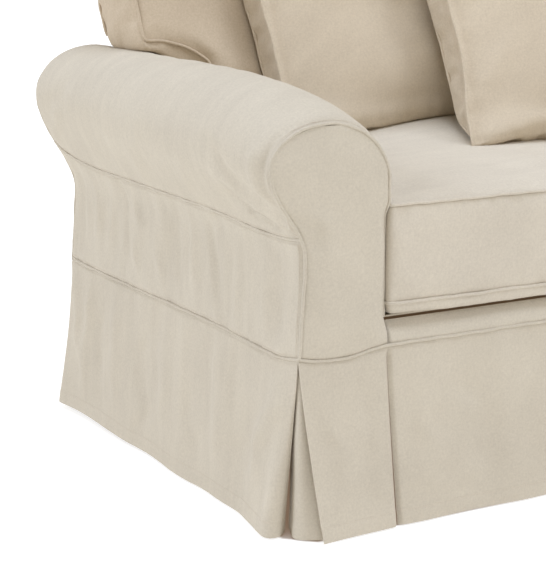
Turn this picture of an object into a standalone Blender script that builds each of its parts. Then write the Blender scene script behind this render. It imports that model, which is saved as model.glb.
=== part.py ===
"""Fitted slipcover for a two-seat sofa with rolled arms, with its covered cushions.

Lengths are in metres. The frame is centred under the cover: X runs from the left arm
to the right one, Y from the front to the back, and Z up from the hem. Most tables
give a place as the sewer measures it: out from the left wall, back from the front
wall, and up from the hem. `place` turns that into the frame.

The sofa inside is left out, so the cover is a hollow shell, open at its hem. Every
panel is a sheet of cloth, a seam's width apart from the next one. The cushions are
filled solids. What is on the right is the mirror image of what is on the left, apart
from the middle pillow.
"""

import math

import bmesh
import bpy
import numpy as np

# ---------------------------------------------------------------- driving sizes
WALL_WIDTH = 1.700      # over the two outer arm walls, without the rolls
WALL_DEPTH = 0.875      # from the front of the arms to the outside back
ARM_WIDTH = 0.157       # from the outer arm wall to the inner one
CLOTH = 0.0025          # heavy cotton with its turned seams
SEAM_GAP = 0.0004       # between two panels that are sewn together
REST_GAP = 0.0006       # between a cushion and what it lies on
SOFT_GAP = 0.003        # between a cushion and what stands beside it

SKIRT_SEAM = 0.287      # height at which the skirt is sewn on, between the arms
DECK_HEIGHT = 0.328     # top of the platform under the seat cushions
BORDER_SETBACK = 0.012  # the front border's top lies this far behind the arm fronts

SEAT_BOTTOM = DECK_HEIGHT + SEAM_GAP
SEAT_EDGE = 0.503       # height of the seam round a seat cushion's top
SEAT_CROWN = 0.029      # the seat cushion's top rises this far above its seam
SEAT_FRONT = 0.003      # its front face lies this far behind the arm fronts
SEAT_DEPTH = 0.715
SEAT_ROWS = 12

BACK_TOP = 0.782        # top of the back's frame
BACK_TOP_WIDTH = 0.030  # its thickness there
BACK_FOOT = 0.735       # where the inside back meets the deck

# ------------------------------------------------------------ arm, by its depth
# top: highest point; left, left_up: the roll's outermost point; neck: the narrowest
# height of the arm; seam: height of the seam under the roll; skirt: of the skirt seam.
ARM_COLUMNS = ("depth", "top", "left", "left_up", "neck", "seam", "skirt")
ARM_SECTIONS = (
    (0.000, 0.632, -0.049, 0.574, 0.437, 0.465, 0.284),
    (0.010, 0.642, -0.055, 0.575, 0.437, 0.465, 0.282),
    (0.030, 0.652, -0.060, 0.577, 0.437, 0.466, 0.279),
    (0.060, 0.662, -0.062, 0.580, 0.437, 0.466, 0.276),
    (0.120, 0.675, -0.063, 0.584, 0.436, 0.467, 0.277),
    (0.220, 0.684, -0.063, 0.589, 0.434, 0.471, 0.282),
    (0.400, 0.689, -0.062, 0.594, 0.430, 0.474, 0.285),
    (0.600, 0.692, -0.060, 0.598, 0.427, 0.477, 0.286),
    (0.750, 0.693, -0.060, 0.601, 0.424, 0.484, 0.288),
    (0.835, 0.693, -0.060, 0.602, 0.422, 0.500, 0.289),
    (0.860, 0.691, -0.058, 0.602, 0.422, 0.508, 0.287),
    (WALL_DEPTH, 0.684, -0.053, 0.602, 0.422, 0.512, 0.284),
)
ROLL_TOP_AT = 0.053     # how far in from the wall the roll is highest
ROLL_RIGHT_UP = 0.540   # height at which the roll's inner side turns upright
WALL_FOOT = -0.003      # the arm wall leans out to here at the skirt seam
WALL_WAIST = 0.006      # and in to here at the neck
TURN_BACK = 0.014       # the front panel rolls back into the seat this far
TURN_BACK_TOP = 0.515   # below this height
INNER_STOPS = (0.515, 0.500, 0.485, 0.440, 0.385)  # rows down the arm's inner wall
PANEL_PUFF = 0.004      # fullness of the arm's front and back panels

# ------------------------------------------------- skirt, from seam to hem in plan
SKIRT_COLUMNS = ("seam_out", "seam_back", "hem_out", "hem_back")
SKIRT_SIDE = (
    (WALL_FOOT, 0.003, -0.004, 0.041),
    (WALL_FOOT, 0.010, -0.020, 0.030),
    (WALL_FOOT, 0.020, -0.034, 0.031),
    (WALL_FOOT, 0.030, -0.040, 0.042),
    (WALL_FOOT, 0.060, -0.037, 0.066),
    (WALL_FOOT, 0.120, -0.026, 0.122),
    (WALL_FOOT, 0.220, -0.020, 0.220),
    (WALL_FOOT, 0.310, -0.019, 0.310),
    (WALL_FOOT, 0.400, -0.021, 0.400),
    (WALL_FOOT, 0.500, -0.017, 0.500),
    (WALL_FOOT, 0.600, -0.022, 0.600),
    (WALL_FOOT, 0.670, -0.023, 0.670),
    (WALL_FOOT, 0.760, -0.021, 0.762),
    (WALL_FOOT, 0.835, -0.030, 0.846),
    (WALL_FOOT, 0.860, -0.024, 0.863),
    (WALL_FOOT, 0.872, -0.008, 0.854),
)
# Across the arm's front and back; `seam_up` is the height of the skirt seam there.
ARM_END_COLUMNS = ("seam_out", "seam_up", "hem_out", "flare")
ARM_END = (
    (WALL_FOOT, 0.284, 0.024, 0.033),
    (0.024, 0.279, 0.046, 0.031),
    (0.058, 0.276, 0.074, 0.028),
    (0.093, 0.277, 0.102, 0.026),
    (0.128, 0.283, 0.134, 0.025),
    (ARM_WIDTH, SKIRT_SEAM, 0.165, 0.024),
)
# The insert that closes the kick pleat, tucked behind the panels on its two sides.
PLEAT_INSERT = (
    (-0.0004, 0.0250, 0.014, 0.056),
    (-0.0004, 0.0150, 0.004, 0.032),
    (0.0014, 0.0060, -0.003, 0.013),
    (0.0062, 0.0032, 0.004, 0.000),
    (0.0150, 0.0027, 0.014, -0.007),
    (0.0240, 0.0027, 0.030, -0.016),
    (0.0320, 0.0027, 0.044, -0.019),
)
PLEAT_DROP = 0.010      # the insert starts this far below the seam
FRONT_HEM_OUT = 0.020   # the front skirt's flare
FRONT_HEM_WAVE = 0.0025
FRONT_WAVES = 7
SLIT = 0.005            # opening at the hem, between the arm's skirt and the front one
SKIRT_ROWS = 7

# ------------------------------------------------------------------- cushions
BACK_LEAN = math.tan(math.radians(24))
UPRIGHT_ABOVE = 0.750   # above this height what leans on the back bends upright
UPRIGHT_BEND = 1.08     # forward of its lean by this times the height's square
BACK_FACE_BACK = 0.630  # the back cushion's front seam is here
BACK_FACE_UP = 0.722    # at this height
BACK_THICKNESS = 0.158  # from seam to seam, level
BACK_CROWN = 0.010      # the pillows press its front nearly flat
BACK_REAR_CROWN = 0.004
BACK_CUSHION_TOP = 0.912
BACK_BODY_OUT = 0.170   # where the back cushion passes the arm
BACK_NOTCH = 0.655      # height of the notch that takes the arm
# The ear that lies over the arm: its front seam's height at each place across.
EAR_COLUMNS = ("out", "up")
EAR = ((0.052, 0.712), (0.090, 0.711), (0.130, 0.700), (BACK_BODY_OUT, 0.675))
EAR_SAG = 0.012         # the ear's underside hangs below its seams
EAR_HEEL = 0.014        # its lower back edge is rounded off by this

# The lower left front corner of each pillow's cover, and how it is turned: turn is
# about the upright, lean is backwards, roll lifts its right side, in degrees.
PILLOW_COLUMNS = ("name", "out", "back", "up", "turn", "lean", "roll")
PILLOWS = (
    ("pillow_left", 0.257, 0.462, 0.542, -4.0, 24.0, 4.0),
    ("pillow_middle", 0.529, 0.275, 0.535, -6.0, 25.0, 4.0),
)
PILLOW_WIDTH = 0.520
PILLOW_HEIGHT = 0.425
PILLOW_BOXING = 0.062   # width of the strip between its two faces
PILLOW_FRONT_CROWN = 0.052
PILLOW_REAR_CROWN = 0.004
PILLOW_PULL = 0.012     # its sides draw in this far between the corners

LINEN = (0.604, 0.546, 0.456, 1.0)
LINEN_ROUGHNESS = 0.9


def clear_scene():
    for item in list(bpy.data.objects):
        bpy.data.objects.remove(item, do_unlink=True)


def make_material(name, shade):
    """Plain woven cotton; shade lightens or darkens it a little."""
    material = bpy.data.materials.new(name)
    material.use_nodes = True
    colour = tuple(channel * shade for channel in LINEN[:3]) + (1.0,)
    surface = material.node_tree.nodes["Principled BSDF"]
    surface.inputs["Base Color"].default_value = colour
    surface.inputs["Roughness"].default_value = LINEN_ROUGHNESS
    surface.inputs["Metallic"].default_value = 0.0
    material.diffuse_color = colour
    return material


def place(points):
    """From out, back and up, as the tables give them, to the frame."""
    return np.asarray(points, float) - (WALL_WIDTH / 2, WALL_DEPTH / 2, 0.0)


def mirrored(points):
    return np.asarray(points, float) * (-1.0, 1.0, 1.0)


def ease(value):
    value = np.clip(value, 0.0, 1.0)
    return value * value * (3.0 - 2.0 * value)


def column(table, columns, name):
    return np.array([row[columns.index(name)] for row in table], float)


def resample(curve, count):
    """The same curve with `count` points, evenly spaced along it."""
    steps = np.linalg.norm(np.diff(curve, axis=0), axis=1)
    along = np.concatenate([[0.0], np.cumsum(steps)])
    wanted = np.linspace(0.0, along[-1], count)
    return np.stack([np.interp(wanted, along, axis) for axis in curve.T], axis=1)


# ------------------------------------------------------------------ mesh makers
def add_object(name, vertices, faces, material):
    mesh = bpy.data.meshes.new(name)
    mesh.from_pydata([tuple(map(float, v)) for v in vertices], [], faces)
    shell = bmesh.new()
    shell.from_mesh(mesh)
    bmesh.ops.recalc_face_normals(shell, faces=shell.faces)
    shell.to_mesh(mesh)
    shell.free()
    mesh.materials.append(material)
    mesh.shade_smooth()
    mesh.set_sharp_from_angle(angle=math.radians(40))
    made = bpy.data.objects.new(name, mesh)
    bpy.context.scene.collection.objects.link(made)
    return made


def grid_normals(grid):
    along_rows = np.gradient(grid, axis=0)
    along_columns = np.gradient(grid, axis=1)
    normals = np.cross(along_rows, along_columns)
    return normals / np.linalg.norm(normals, axis=2, keepdims=True)


def cloth_sheet(name, outer, inside, material):
    """A closed sheet under a grid of points on its outer side.

    `inside` is a point on the sheet's inner side, which says where its thickness goes.
    """
    outer = np.asarray(outer, float)
    normals = grid_normals(outer)
    towards = np.einsum("ijk,ijk->ij", normals, np.asarray(inside) - outer)
    if np.median(towards) < 0:
        normals = -normals
    inner = outer + normals * CLOTH
    rows, cols = outer.shape[:2]
    vertices = np.concatenate([outer.reshape(-1, 3), inner.reshape(-1, 3)])
    under = rows * cols

    def at(row, col):
        return row * cols + col

    faces = []
    for row in range(rows - 1):
        for col in range(cols - 1):
            quad = (at(row, col), at(row, col + 1), at(row + 1, col + 1), at(row + 1, col))
            faces.append(quad)
            faces.append(tuple(index + under for index in reversed(quad)))
    rim = [at(0, col) for col in range(cols)]
    rim += [at(row, cols - 1) for row in range(1, rows)]
    rim += [at(rows - 1, col) for col in range(cols - 2, -1, -1)]
    rim += [at(row, 0) for row in range(rows - 2, 0, -1)]
    for here, after in zip(rim, rim[1:] + rim[:1]):
        faces.append((after, here, here + under, after + under))
    return add_object(name, vertices, faces, material)


def lattice_solid(name, cells, shape, material):
    """The skin of a set of lattice cells, each corner placed by `shape(i, j, k)`."""
    cells = set(cells)
    sides = (
        ((1, 0, 0), ((1, 0, 0), (1, 1, 0), (1, 1, 1), (1, 0, 1))),
        ((-1, 0, 0), ((0, 0, 0), (0, 0, 1), (0, 1, 1), (0, 1, 0))),
        ((0, 1, 0), ((0, 1, 0), (0, 1, 1), (1, 1, 1), (1, 1, 0))),
        ((0, -1, 0), ((0, 0, 0), (1, 0, 0), (1, 0, 1), (0, 0, 1))),
        ((0, 0, 1), ((0, 0, 1), (1, 0, 1), (1, 1, 1), (0, 1, 1))),
        ((0, 0, -1), ((0, 0, 0), (0, 1, 0), (1, 1, 0), (1, 0, 0))),
    )
    index, corners, faces = {}, [], []
    for cell in sorted(cells):
        for step, side in sides:
            if tuple(np.add(cell, step)) in cells:
                continue
            face = []
            for corner in side:
                key = tuple(int(n) for n in np.add(cell, corner))
                if key not in index:
                    index[key] = len(corners)
                    corners.append(shape(*key))
                face.append(index[key])
            faces.append(tuple(face))
    return add_object(name, corners, faces, material)


# -------------------------------------------------------------------- the arms
def bezier(ends, handles, count):
    t = np.linspace(0.0, 1.0, count)[:, None]
    first, last = np.asarray(ends, float)
    near, far = np.asarray(handles, float)
    s = 1.0 - t
    return first * s**3 + 3 * near * s * s * t + 3 * far * s * t * t + last * t**3


def arm_at(depth):
    """The row of the arm table for this depth, worked out between its rows."""
    depths = column(ARM_SECTIONS, ARM_COLUMNS, "depth")
    return {
        name: float(np.interp(depth, depths, column(ARM_SECTIONS, ARM_COLUMNS, name)))
        for name in ARM_COLUMNS
    }


def arm_outline(depth, foot):
    """The arm's outer side in section, as (out, up) points.

    It runs from `foot` up the outer wall and round the roll to the inner wall.
    """
    arm = arm_at(depth)
    fine = 40
    neck = (WALL_WAIST, arm["neck"])
    left = (arm["left"], arm["left_up"])
    wall = bezier(
        ((WALL_FOOT, foot), neck),
        ((0.001, foot + 0.050), (WALL_WAIST, arm["neck"] - 0.045)),
        fine,
    )
    underside = bezier(
        (neck, left),
        ((0.004, arm["neck"] + 0.055), (arm["left"], arm["left_up"] - 0.062)),
        fine,
    )
    turn = np.linspace(math.pi, math.pi / 2, fine)
    outer_top = np.stack(
        [
            ROLL_TOP_AT + (ROLL_TOP_AT - arm["left"]) * np.cos(turn),
            arm["left_up"] + (arm["top"] - arm["left_up"]) * np.sin(turn),
        ],
        axis=1,
    )
    turn = np.linspace(math.pi / 2, 0.0, fine)
    inner_top = np.stack(
        [
            ROLL_TOP_AT + (ARM_WIDTH - ROLL_TOP_AT) * np.cos(turn),
            ROLL_RIGHT_UP + (arm["top"] - ROLL_RIGHT_UP) * np.sin(turn),
        ],
        axis=1,
    )
    return np.concatenate([wall, underside[1:], outer_top[1:], inner_top[1:]])


def end_seam_up(out):
    """Height of the skirt seam across the front or the back; it sags under the arms."""
    from_side = np.minimum(out, WALL_WIDTH - np.asarray(out, float))
    stops = column(ARM_END, ARM_END_COLUMNS, "seam_out")
    return np.interp(from_side, stops, column(ARM_END, ARM_END_COLUMNS, "seam_up"))


def side_seam_up(back):
    depths = column(ARM_SECTIONS, ARM_COLUMNS, "depth")
    return np.interp(back, depths, column(ARM_SECTIONS, ARM_COLUMNS, "skirt"))


def arm_surface(depths, above_seam, count):
    """A grid over the arm, a row for each depth: the sleeve or the wall under it."""
    rows = []
    for depth in depths:
        seam = arm_at(depth)["seam"]
        outline = arm_outline(depth, float(side_seam_up(depth)) + SEAM_GAP)
        split = int(np.argmax(outline[:, 1] >= seam))
        low, high = outline[split - 1], outline[split]
        share = (seam - low[1]) / (high[1] - low[1])
        joint = low + (high - low) * share
        if above_seam:
            roll = resample(np.vstack([joint[None], outline[split:]]), count)
            inner = [(ARM_WIDTH, up) for up in (*INNER_STOPS, DECK_HEIGHT + SEAM_GAP)]
            part = np.vstack([roll, inner])
        else:
            part = resample(np.vstack([outline[:split], joint[None]]), count)
            part[-1, 1] -= SEAM_GAP
        rows.append(np.column_stack([part[:, 0], np.full(len(part), depth), part[:, 1]]))
    return np.array(rows)


def turned_back(points):
    """How far the front edge rolls back at each point: only beside the seat cushion."""
    inner = np.abs(points[..., 0] - ARM_WIDTH) < 0.002
    below = ease((TURN_BACK_TOP - points[..., 2]) / 0.030)
    return np.where(inner, TURN_BACK * below, 0.0)


def front_first(grid):
    """Moves a sleeve's front rows back where the front panel turns into the seat."""
    grid = grid.copy()
    back = WALL_DEPTH - CLOTH - SEAM_GAP
    shift = turned_back(grid[0])
    share = (back - grid[:, :, 1]) / (back - grid[0, 0, 1])
    grid[:, :, 1] += shift[None, :] * share
    return grid


def end_panel(depth, outward, turn_edge):
    """The keyhole panel that closes the arm's front or back, as a grid."""
    seam_up = SKIRT_SEAM + SEAM_GAP
    outline = arm_outline(depth, seam_up)
    stops = column(ARM_END, ARM_END_COLUMNS, "seam_out")
    across = (stops - stops[0]) / (stops[-1] - stops[0])
    peak = int(np.argmax(outline[:, 1]))
    outer, inner = outline[: peak + 1], outline[peak:][::-1]
    top = outline[peak, 1] - 0.0008
    head = np.sin(np.linspace(0.0, math.pi / 2, 9))
    heights = np.concatenate(
        [
            (seam_up, DECK_HEIGHT + SEAM_GAP),
            INNER_STOPS[::-1],
            ROLL_RIGHT_UP + (top - ROLL_RIGHT_UP) * head,
        ]
    )
    rows = []
    for up in heights:
        left = np.interp(up, outer[:, 1], outer[:, 0])
        right = ARM_WIDTH
        if up > ROLL_RIGHT_UP:
            right = np.interp(up, inner[:, 1], inner[:, 0])
        out = left + (right - left) * across
        rise = ease((up - seam_up) / 0.060) * ease((top - up) / 0.060)
        puff = PANEL_PUFF * rise * np.sin(across * math.pi)
        back = np.full(out.shape, depth) + outward * puff
        if turn_edge:
            near_edge = np.clip((out - (ARM_WIDTH - 0.022)) / 0.022, 0.0, 1.0)
            below = float(ease((TURN_BACK_TOP - up) / 0.030))
            back += TURN_BACK * below * near_edge**2
        lower = (heights[-1] - up) / (heights[-1] - seam_up)
        sag = column(ARM_END, ARM_END_COLUMNS, "seam_up") - SKIRT_SEAM
        ups = up + sag * lower**4
        rows.append(np.column_stack([out, back, ups]))
    return np.array(rows)


def build_arm(side, flip, material):
    first = CLOTH + SEAM_GAP
    last = WALL_DEPTH - CLOTH - SEAM_GAP
    depths = column(ARM_SECTIONS, ARM_COLUMNS, "depth").copy()
    depths[0], depths[-1] = first, last
    sleeve = front_first(arm_surface(depths, True, 24))
    wall = arm_surface(depths, False, 7)
    inside = (0.07, WALL_DEPTH / 2, 0.45)
    pieces = (
        ("arm_sleeve", sleeve, inside),
        ("arm_side", wall, inside),
        ("arm_front", end_panel(0.0, -1.0, True), inside),
        ("arm_back", end_panel(WALL_DEPTH, 1.0, False), inside),
    )
    for name, grid, core in pieces:
        cloth_sheet(f"{name}_{side}", flip(place(grid)), flip(place(core)), material)


# ------------------------------------------------------------------- the skirt
def skirt_grid(table, seam_up, drop=0.0):
    """A skirt panel between its seam line and its hem line, both given in plan."""
    seam_out = column(table, SKIRT_COLUMNS, "seam_out")
    seam_back = column(table, SKIRT_COLUMNS, "seam_back")
    hem_out = column(table, SKIRT_COLUMNS, "hem_out")
    hem_back = column(table, SKIRT_COLUMNS, "hem_back")
    rows = []
    for share in np.linspace(0.0, 1.0, SKIRT_ROWS):
        fall = share**1.15
        rows.append(
            np.column_stack(
                [
                    seam_out + (hem_out - seam_out) * fall,
                    seam_back + (hem_back - seam_back) * fall,
                    (seam_up - SEAM_GAP - drop) * (1.0 - share),
                ]
            )
        )
    return np.array(rows)


def turned_round(table):
    """The same rows for the back of the sofa: back is measured from the outside back."""
    return tuple((o, WALL_DEPTH - b, ho, WALL_DEPTH - hb) for o, b, ho, hb in table)


def arm_end_table():
    """The panel under the arm's front, as a skirt table."""
    return tuple((out, 0.0, hem, -flare) for out, _, hem, flare in ARM_END)


def wavy_hem(count):
    phase = np.linspace(0.0, 2 * math.pi * FRONT_WAVES, count)
    return FRONT_HEM_OUT + FRONT_HEM_WAVE * np.sin(phase)


def front_skirt_table():
    """Rows across the front, between the two slits, with a slightly wavy hem."""
    count = 4 * FRONT_WAVES + 1
    seam_end = ARM_WIDTH + SEAM_GAP
    hem_end = column(ARM_END, ARM_END_COLUMNS, "hem_out")[-1] + SLIT
    seam = np.linspace(seam_end, WALL_WIDTH - seam_end, count)
    hem = np.linspace(hem_end, WALL_WIDTH - hem_end, count)
    return tuple((a, 0.0, b, -c) for a, b, c in zip(seam, hem, wavy_hem(count)))


def back_skirt_table():
    """One panel across the whole back; its corners flare as the front ones do."""
    count = 4 * FRONT_WAVES + 1
    end_out = column(ARM_END, ARM_END_COLUMNS, "seam_out")
    middle = np.linspace(ARM_WIDTH, WALL_WIDTH - ARM_WIDTH, count)
    seam = np.concatenate([end_out[:-1], middle, WALL_WIDTH - end_out[-2::-1]])
    end_hem = column(ARM_END, ARM_END_COLUMNS, "hem_out")
    hem_middle = np.linspace(end_hem[-1], WALL_WIDTH - end_hem[-1], count)
    hem = np.concatenate([end_hem[:-1], hem_middle, WALL_WIDTH - end_hem[-2::-1]])
    end_flare = column(ARM_END, ARM_END_COLUMNS, "flare")[:-1]
    flare = np.concatenate([end_flare, wavy_hem(count), end_flare[::-1]])
    return tuple((a, WALL_DEPTH, b, WALL_DEPTH + c) for a, b, c in zip(seam, hem, flare))


def build_skirt(material):
    middle = place((WALL_WIDTH / 2, WALL_DEPTH / 2, 0.15))
    for side, flip in (("left", np.asarray), ("right", mirrored)):
        back_along = column(SKIRT_SIDE, SKIRT_COLUMNS, "seam_back")
        panel = skirt_grid(SKIRT_SIDE, side_seam_up(back_along))
        cloth_sheet(f"skirt_side_{side}", flip(place(panel)), middle, material)
        table = arm_end_table()
        panel = skirt_grid(table, end_seam_up(column(table, SKIRT_COLUMNS, "seam_out")))
        cloth_sheet(f"skirt_arm_front_{side}", flip(place(panel)), middle, material)
        low_seam = np.full(len(PLEAT_INSERT), float(side_seam_up(0.0)))
        for end, table in (("front", PLEAT_INSERT), ("back", turned_round(PLEAT_INSERT))):
            panel = skirt_grid(table, low_seam, PLEAT_DROP)
            cloth_sheet(f"pleat_{end}_{side}", flip(place(panel)), middle, material)
    for name, table in (("skirt_front", front_skirt_table()), ("skirt_back", back_skirt_table())):
        along = column(table, SKIRT_COLUMNS, "seam_out")
        panel = skirt_grid(table, end_seam_up(along))
        cloth_sheet(name, place(panel), middle, material)


# --------------------------------------------- platform, front border and back
def flat_sheet(name, corners, inside, material, counts=(2, 2), bulge=0.0):
    """A panel between four corners, in order round it, bulging away from `inside`."""
    a, b, c, d = (np.asarray(corner, float) for corner in corners)
    s = np.linspace(0.0, 1.0, counts[0])[:, None, None]
    t = np.linspace(0.0, 1.0, counts[1])[None, :, None]
    grid = a * (1 - s) * (1 - t) + b * s * (1 - t) + c * s * t + d * (1 - s) * t
    if bulge:
        normal = np.cross(b - a, d - a)
        normal /= np.linalg.norm(normal)
        if np.dot(normal, a - np.asarray(inside)) < 0:
            normal = -normal
        grid = grid + normal * bulge * np.sin(s * math.pi) * np.sin(t * math.pi)
    cloth_sheet(name, place(grid), place(inside), material)


def build_platform(material):
    left = ARM_WIDTH + SEAM_GAP
    right = WALL_WIDTH - left
    seam = SKIRT_SEAM + SEAM_GAP
    core = (WALL_WIDTH / 2, WALL_DEPTH / 2, 0.15)
    border_top = DECK_HEIGHT - CLOTH - SEAM_GAP
    flat_sheet(
        "front_border",
        (
            (left, 0.0, seam),
            (right, 0.0, seam),
            (right, BORDER_SETBACK, border_top),
            (left, BORDER_SETBACK, border_top),
        ),
        core,
        material,
    )
    flat_sheet(
        "deck",
        (
            (left, BORDER_SETBACK, DECK_HEIGHT),
            (right, BORDER_SETBACK, DECK_HEIGHT),
            (right, BACK_FOOT, DECK_HEIGHT),
            (left, BACK_FOOT, DECK_HEIGHT),
        ),
        core,
        material,
    )


def build_back(material):
    left = ARM_WIDTH + SEAM_GAP
    right = WALL_WIDTH - left
    top_front = WALL_DEPTH - BACK_TOP_WIDTH
    core = (WALL_WIDTH / 2, WALL_DEPTH - 0.012, 0.60)
    low = DECK_HEIGHT + SEAM_GAP
    under_top = BACK_TOP - CLOTH - SEAM_GAP
    foot_front = BACK_FOOT
    inset = CLOTH + SEAM_GAP
    flat_sheet(
        "inside_back",
        (
            (left + inset, foot_front, low),
            (right - inset, foot_front, low),
            (right - inset, top_front, under_top),
            (left + inset, top_front, under_top),
        ),
        core,
        material,
    )
    flat_sheet(
        "outside_back",
        (
            (left, WALL_DEPTH, SKIRT_SEAM + SEAM_GAP),
            (right, WALL_DEPTH, SKIRT_SEAM + SEAM_GAP),
            (right, WALL_DEPTH, under_top),
            (left, WALL_DEPTH, under_top),
        ),
        core,
        material,
        counts=(13, 7),
        bulge=0.006,
    )
    flat_sheet(
        "back_top",
        (
            (left, top_front, BACK_TOP),
            (right, top_front, BACK_TOP),
            (right, WALL_DEPTH, BACK_TOP),
            (left, WALL_DEPTH, BACK_TOP),
        ),
        core,
        material,
    )
    behind = WALL_DEPTH - CLOTH - SEAM_GAP
    for side, out in (("left", left), ("right", right)):
        flat_sheet(
            f"back_side_{side}",
            (
                (out, foot_front, low),
                (out, behind, low),
                (out, behind, under_top),
                (out, top_front, under_top),
            ),
            core,
            material,
        )


# ---------------------------------------------------------------- the cushions
def seat_top(out, back):
    """Height of the seat cushions' top at a place on it."""
    first = ARM_WIDTH + SOFT_GAP
    width = WALL_WIDTH / 2 - SOFT_GAP / 2 - first
    from_middle = np.abs(np.asarray(out, float) - WALL_WIDTH / 2) - SOFT_GAP / 2
    u = np.clip(1.0 - from_middle / width, 0.0, 1.0) * 2.0 - 1.0
    v = np.clip((np.asarray(back, float) - SEAT_FRONT) / SEAT_DEPTH, 0.0, 1.0) * 2.0 - 1.0
    return SEAT_EDGE + SEAT_CROWN * (1.0 - np.abs(u) ** 4) * (1.0 - np.abs(v) ** 4)


def seat_row_back(row):
    """How far back each row of a seat cushion's lattice lies; they crowd at its edges."""
    return SEAT_FRONT + SEAT_DEPTH * (0.5 - 0.5 * np.cos(row / SEAT_ROWS * math.pi))


def build_seat_cushion(side, flip, material):
    cells_out, cells_back, cells_up = 10, SEAT_ROWS, 4
    first = ARM_WIDTH + SOFT_GAP
    last = WALL_WIDTH / 2 - SOFT_GAP / 2

    def spread(step, cells):
        return 0.5 - 0.5 * math.cos(step / cells * math.pi)

    def shape(i, j, k):
        out = first + (last - first) * spread(i, cells_out)
        back = float(seat_row_back(j))
        heights = (SEAT_BOTTOM, SEAT_BOTTOM + 0.022, 0.395, 0.455, float(seat_top(out, back)))
        up = heights[k]
        if k == 0:
            inset = 0.016
            out = first + inset + (last - first - 2 * inset) * spread(i, cells_out)
            back = SEAT_FRONT + inset + (SEAT_DEPTH - 2 * inset) * spread(j, cells_back)
        return flip(place((out, back, up)))

    cells = [
        (i, j, k)
        for i in range(cells_out)
        for j in range(cells_back)
        for k in range(cells_up)
    ]
    lattice_solid(f"seat_cushion_{side}", cells, shape, material)


def bend_forward(up):
    """How far in front of its straight lean a soft thing stands at this height."""
    return UPRIGHT_BEND * max(up - UPRIGHT_ABOVE, 0.0) ** 2


def back_face(up):
    return BACK_FACE_BACK + (up - BACK_FACE_UP) * BACK_LEAN - bend_forward(up)


def build_back_cushion(side, flip, material):
    """An upright cushion whose outer end has an ear that lies over the arm."""
    ear_out = column(EAR, EAR_COLUMNS, "out")
    ear_up = column(EAR, EAR_COLUMNS, "up")
    last = WALL_WIDTH / 2 - SOFT_GAP / 2
    body_out = np.linspace(BACK_BODY_OUT, last, 9)
    outs = np.concatenate([ear_out, body_out[1:]])
    ear_cells = len(ear_out) - 1
    cells_out = len(outs) - 1
    low_cells, high_cells, cells_back = 3, 6, 3
    top = BACK_CUSHION_TOP
    # It stands on the crest of the seat cushion, which is highest under its front.
    seat_middle = (ARM_WIDTH + SOFT_GAP + last) / 2
    rows = seat_row_back(np.arange(SEAT_ROWS + 1))
    front = back_face(SEAT_EDGE + SEAT_CROWN)
    foot = float(np.interp(front, rows, seat_top(seat_middle, rows))) + REST_GAP

    def shape(i, j, k):
        out = float(outs[i])
        share = j / cells_back
        notch = float(np.interp(out, [*ear_out, ear_out[-1] + 0.03], [*ear_up, BACK_NOTCH]))
        if k < low_cells:
            up = foot + (notch - foot) * k / low_cells
        else:
            up = notch + (top - notch) * (k - low_cells) / high_cells
        across = (out - outs[0]) / (last - outs[0])
        rise = (up - foot) / (top - foot)
        crown = (1 - abs(2 * across - 1) ** 3) * (1 - abs(2 * rise - 1) ** 3)
        back = back_face(up) + share * BACK_THICKNESS
        if j == 0:
            back -= BACK_CROWN * max(crown, 0.0)
        if j == cells_back:
            back += BACK_REAR_CROWN * max(crown, 0.0)
        if i <= ear_cells and k == low_cells:
            up -= EAR_SAG * math.sin(share * math.pi)
            if i < ear_cells:
                up += EAR_HEEL * share**4
        if i == 0 and k == low_cells:
            back -= 0.010 * share**4
        if i == 0:
            out -= 0.005 * math.sin(share * math.pi)
        if k == low_cells + high_cells:
            up += 0.010 * math.sin(share * math.pi)
        return flip(place((out, back, up)))

    cells = [
        (i, j, k)
        for i in range(cells_out)
        for j in range(cells_back)
        for k in range(low_cells + high_cells)
        if k >= low_cells or i >= ear_cells
    ]
    lattice_solid(f"back_cushion_{side}", cells, shape, material)


def pillow_axes(turn, lean, roll):
    """Unit vectors along the pillow's width, up its face and out of its front."""
    turn, lean, roll = (math.radians(angle) for angle in (turn, lean, roll))
    along = np.array([math.cos(turn), math.sin(turn), 0.0])
    away = np.array([-math.sin(turn), math.cos(turn), 0.0])
    rise = math.cos(lean) * np.array([0.0, 0.0, 1.0]) + math.sin(lean) * away
    width = math.cos(roll) * along + math.sin(roll) * rise
    height = -math.sin(roll) * along + math.cos(roll) * rise
    return width, height, np.cross(width, height)


def build_pillow(name, row, flip, material):
    cells_wide, cells_thick, cells_high = 9, 2, 9
    corner = np.array([row["out"], row["back"], row["up"]])
    width, height, front = pillow_axes(row["turn"], row["lean"], row["roll"])

    def shape(i, j, k):
        u, v = i / cells_wide * 2 - 1, k / cells_high * 2 - 1
        crown = (1 - abs(u) ** 2.6) * (1 - abs(v) ** 2.6)
        pull_u = 1 - 2 * PILLOW_PULL / PILLOW_WIDTH * (1 - v * v)
        pull_v = 1 - 2 * PILLOW_PULL / PILLOW_HEIGHT * (1 - u * u)
        across = (0.5 + 0.5 * u * pull_u) * PILLOW_WIDTH
        rise = (0.5 + 0.5 * v * pull_v) * PILLOW_HEIGHT
        out_of_face = -PILLOW_BOXING * (1 - j / cells_thick)
        if j == cells_thick:
            out_of_face += PILLOW_FRONT_CROWN * crown
        if j == 0:
            out_of_face -= PILLOW_REAR_CROWN * crown
        point = corner + width * across + height * rise + front * out_of_face
        point[1] -= bend_forward(point[2])
        point[2] = max(point[2], float(seat_top(point[0], point[1])) + REST_GAP)
        return flip(place(point))

    cells = [
        (i, j, k)
        for i in range(cells_wide)
        for j in range(cells_thick)
        for k in range(cells_high)
    ]
    lattice_solid(name, cells, shape, material)


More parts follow.
